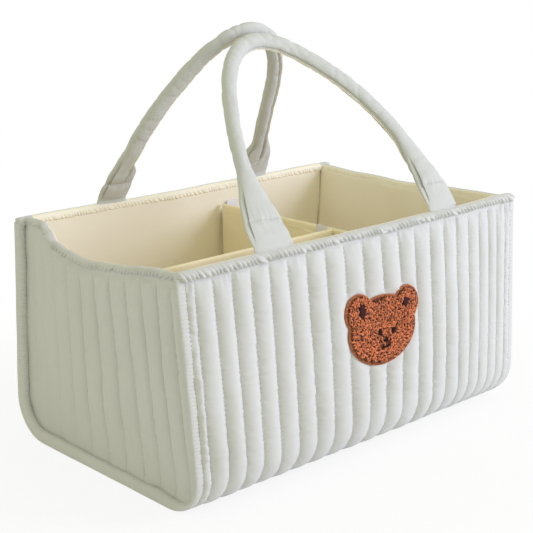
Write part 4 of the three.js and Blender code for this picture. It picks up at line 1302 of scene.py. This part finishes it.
def build_pile():
    """Loops of yarn all over the head, left out where the face is sewn, and the ground that they stand on."""
    _, mouth_a, mouth_b = mouth_line()
    round_spots = [(*eye, EYE_RADIUS) for eye in EYES] + [(*NOSE, NOSE_RADIUS)]

    def is_bare(a, b):
        return (
            outside_patch(a, b) > 0.4 - BORDER_WIDTH
            or any(np.hypot(a - x, b - z) < radius + FACE_CLEARANCE for x, z, radius in round_spots)
            or any(np.hypot((a - x) / wide, (b - z) / tall) < 1.1 for x, z, wide, tall in INNER_EARS)
            or np.hypot(mouth_a - a, mouth_b - b).min() < MOUTH_WIDTH
        )

    rng = np.random.default_rng(5)
    loops = []
    shades = []
    rows = int(LOOP_FIELD / LOOP_ROW)
    bow = np.linspace(-0.25, math.pi + 0.25, 7)[:, None]
    thick = circle(5)
    for row in range(-rows // 2, rows // 2 + 1):
        for col in range(-LOOP_COLUMNS, LOOP_COLUMNS + 1):
            a = (col + 0.5 * (row % 2)) * LOOP_SPACING + rng.uniform(-LOOP_STRAY, LOOP_STRAY)
            b = row * LOOP_ROW + rng.uniform(-LOOP_STRAY, LOOP_STRAY)
            turn = rng.uniform(0, TAU)
            size = rng.uniform(*LOOP_SIZE)
            tall = rng.uniform(*LOOP_HEIGHT)
            tone = rng.uniform(*LOOP_TONE)
            fat = rng.uniform(*YARN_RADIUS)
            tip = rng.uniform(-LOOP_DROOP, LOOP_DROOP, 2)
            if is_bare(a, b):
                continue
            up = np.maximum(-0.3, tall * np.sin(bow) * 1.2)
            hang = np.maximum(0.0, np.sin(bow))
            reach = (size + fat * np.cos(thick)) * np.cos(bow)
            off = fat * np.sin(thick)
            loops.append(join(
                a + reach * math.cos(turn) - off * math.sin(turn) + tip[0] * hang,
                b + reach * math.sin(turn) + off * math.cos(turn) + tip[1] * hang,
                pile_lift(a, b) + up + fat * np.cos(thick) * np.sin(bow),
            ))
            # Each loop is painted darker towards its feet and lighter at its top, as painted shade and light,
            # with a random tone on top.
            shades.append(np.repeat(np.clip(0.16 + 0.36 * up + tone, 0, 1), len(thick)))
    steps, sides = loops[0].shape[:2]
    size = steps * sides
    ends = [list(range(sides)), list(range(size - sides, size))]
    faces = repeated(grid_faces(steps, sides, closed=True).tolist() + ends, size, len(loops))
    points = on_patch(*np.moveaxis(np.concatenate(loops).reshape(-1, 3), -1, 0))
    make_piece("patch_loops", (points, faces, None), PILE, "caddy", shades=np.concatenate(shades))
    ground = dome((0, 0), lambda t: patch_radius(t) - PILE_INSET, PILE_DOME, BACKING, 10, 160)
    # The ground between the loops takes the hollow colour, as painted shade.
    make_piece("patch_pile_ground", ground, PILE, "caddy", "patch_pile", shades=0.12)


def build_sewn(word, node, middle, wide, tall, cloth):
    """A small oval of satin stitches on the pile."""
    level = float(pile_lift(*middle)) + SEWN_ABOVE

    def oval(t):
        return wide * tall / np.hypot(tall * np.cos(t), wide * np.sin(t))

    form = dome(middle, oval, SEWN_RISE, level, 6, 48, SEWN_RIDGE, 12)
    tones = 0.4 + 0.3 * noise(np.arange(len(form[0])) / 1.3, 0.0, 85)
    make_piece(f"sewn_{word}", form, cloth, "caddy", node, shades=tones)


def build_face():
    """Eyes, nose, inner ears and mouth."""
    for (_, word), eye in zip(SIDES, EYES):
        build_sewn(f"{word}_eye", f"patch_{word}_eye", eye, EYE_RADIUS, EYE_RADIUS * 1.05, DARK)
    build_sewn("nose", "patch_nose", NOSE, NOSE_RADIUS * 1.05, NOSE_RADIUS * 0.95, DARK)
    for (_, word), (x, z, wide, tall) in zip(SIDES, INNER_EARS):
        build_sewn(f"{word}_ear", f"patch_{word}_inner_ear", (x, z), wide, tall, EAR)
    sweep, mouth_a, mouth_b = (v[:, None] for v in mouth_line())
    ring = circle(10)
    taper = np.sqrt(np.clip(np.sin(np.linspace(0.12, math.pi - 0.12, MOUTH_STEPS)), 0, 1))[:, None]
    thick = MOUTH_WIDTH / 2 * taper * np.cos(ring)
    lift = float(pile_lift(*MOUTH)) + MOUTH_ABOVE + MOUTH_RISE * taper * np.sin(ring)
    rings = on_patch(mouth_a + thick * np.sin(sweep), mouth_b - thick * np.cos(sweep), lift)
    make_piece("sewn_mouth", tube(rings), DARK, "caddy", "patch_mouth", shades=0.4)


# Floor, light and camera.


def build_floor():
    """A pale floor, whitest away from the object, that keeps its shadow."""
    r = FLOOR_REACH
    mesh = bpy.data.meshes.new("floor")
    mesh.from_pydata([(-r, -r, 0), (r, -r, 0), (r, r, 0), (-r, r, 0)], [], [(0, 1, 2, 3)])
    material, tree, shader = new_material("floor")
    connect(tree, shader, {"Base Color": FLOOR_COLOUR, "Roughness": 0.9, "Specular IOR Level": 0.1})
    place = add_node(tree, "TexCoord")["Object"]
    far = add_node(tree, "VectorMath", {0: place}, operation="LENGTH")["Value"]
    reach = {"From Min": FLOOR_FADE_START, "From Max": FLOOR_FADE_END, "To Min": FLOOR_LEAST_WHITE}
    fade = add_node(tree, "MapRange", {"Value": far, **reach}, interpolation_type="SMOOTHSTEP")["Result"]
    camera_ray = add_node(tree, "LightPath")["Is Camera Ray"]
    seen = add_node(tree, "Math", {0: camera_ray, 1: fade}, operation="MULTIPLY")[0]
    white = add_node(tree, "Emission")["Emission"]
    mixed = add_node(tree, "MixShader", {"Fac": seen, 1: shader.outputs["BSDF"], 2: white})["Shader"]
    connect(tree, tree.nodes["Material Output"], {"Surface": mixed})
    mesh.materials.append(material)
    floor = bpy.data.objects.new("floor", mesh)
    bpy.context.scene.collection.objects.link(floor)


def build_light():
    """Soft light from all round, a white backdrop, and one large lamp."""
    world = bpy.data.worlds.new("studio")
    bpy.context.scene.world = world
    world.use_nodes = True
    tree = world.node_tree
    sky = tree.nodes["Background"]
    connect(tree, sky, {"Color": SKY_COLOUR, "Strength": SKY_LIGHT})
    backdrop = add_node(tree, "Background", {"Color": (1, 1, 1, 1), "Strength": 1.0})["Background"]
    camera_ray = add_node(tree, "LightPath")["Is Camera Ray"]
    shaders = {"Fac": camera_ray, 1: sky.outputs["Background"], 2: backdrop}
    mixed = add_node(tree, "MixShader", shaders)["Shader"]
    connect(tree, tree.nodes["World Output"], {"Surface": mixed})
    data = bpy.data.lights.new("window", "AREA")
    data.shape = "RECTANGLE"
    data.size, data.size_y = WINDOW_SIZE
    data.energy = WINDOW_LIGHT
    data.color = WINDOW_COLOUR
    lamp = bpy.data.objects.new("window", data)
    bpy.context.scene.collection.objects.link(lamp)
    lamp.location = WINDOW_PLACE
    lamp.rotation_mode = "QUATERNION"
    lamp.rotation_quaternion = (Vector(WINDOW_AIM) - Vector(WINDOW_PLACE)).to_track_quat("-Z", "Y")


def build_camera():
    """The camera at the fitted place and angle."""
    level = math.cos(CAMERA_ELEVATION)
    around = np.array([math.sin(CAMERA_AZIMUTH), -math.cos(CAMERA_AZIMUTH)])
    back = np.append(around * level, math.sin(CAMERA_ELEVATION))
    right = unit(np.cross([0, 0, 1.0], back))
    up = np.cross(back, right)
    c = math.cos(CAMERA_ROLL)
    s = math.sin(CAMERA_ROLL)
    matrix = np.eye(4)
    matrix[:3] = np.stack([right * c + up * s, up * c - right * s, back, np.array(CAMERA_PLACE) * MM], -1)
    data = bpy.data.cameras.new("camera")
    data.sensor_width = SENSOR_WIDTH
    data.lens = FOCAL_PIXELS * SENSOR_WIDTH / IMAGE_SIZE
    data.clip_start = NEAREST_SEEN
    camera = bpy.data.objects.new("camera", data)
    bpy.context.scene.collection.objects.link(camera)
    camera.matrix_world = Matrix(matrix.tolist())
    bpy.context.scene.camera = camera


build_wrap()
for side, word in SIDES:
    build_end(side, word)
for side, word in SIDES:
    build_flange(side, word)
build_rim("front", True, -1, 11)
build_rim("back", True, 1, 12)
build_rim("left", False, -1, 13)
build_rim("right", False, 1, 14)

lining_half = PANEL_END - LINING_INSET
lining, flat = build_wrap_layer(
    "lining_strip", "lining_wrap", LINING_INSET, LINING_THICKNESS, LINING, (40, 12, 30), 120,
    lining_half + LINING_OVERLAP, folds=LINING_FOLDS,
)
for side, word in SIDES:
    sheet, flat, area = build_end_layer(
        f"{word}_lining_sheet", f"{word}_lining", side, LINING_INSET, LINING_THICKNESS, LINING, 50, 80,
        folds=END_LINING_FOLDS,
    )
    build_end_layer(
        f"{word}_felt", f"{word}_stiffener", side, STIFFENER_INSET, STIFFENER_THICKNESS, FELT, 20, 30,
    )
for part, node, cloth in (
    ("front", "front_stiffener", FELT), ("back", "back_stiffener", FELT), ("base", "base_board", BOARD),
):
    build_wrap_layer(
        f"{part}_layer", node, STIFFENER_INSET, STIFFENER_THICKNESS, cloth, (24, 4, 16), 30,
        lining_half, part,
    )
for word in ("front", "back"):
    for _, end in SIDES:
        build_sewn_end(f"{word}_{end}_sewn_end", f"{word}_handle_{end}_tail")

build_handle("front_handle", FRONT_HANDLE)
build_handle("back_handle", BACK_HANDLE)
build_divider("cross", 0, seed=91, low_edge=lambda y: end_low(y, DIVIDER_INSET))
build_divider("long", 1, seed=93, stance=lean_in)
for word in ("cross_back", "cross_front"):
    build_flap(word, 1)
for word in ("long_left", "long_right"):
    build_flap(word, 0)

build_patch_ground()
build_satin_edge()
build_pile()
build_face()

build_floor()
build_light()
build_camera()
bpy.context.scene.view_settings.view_transform = "Standard"
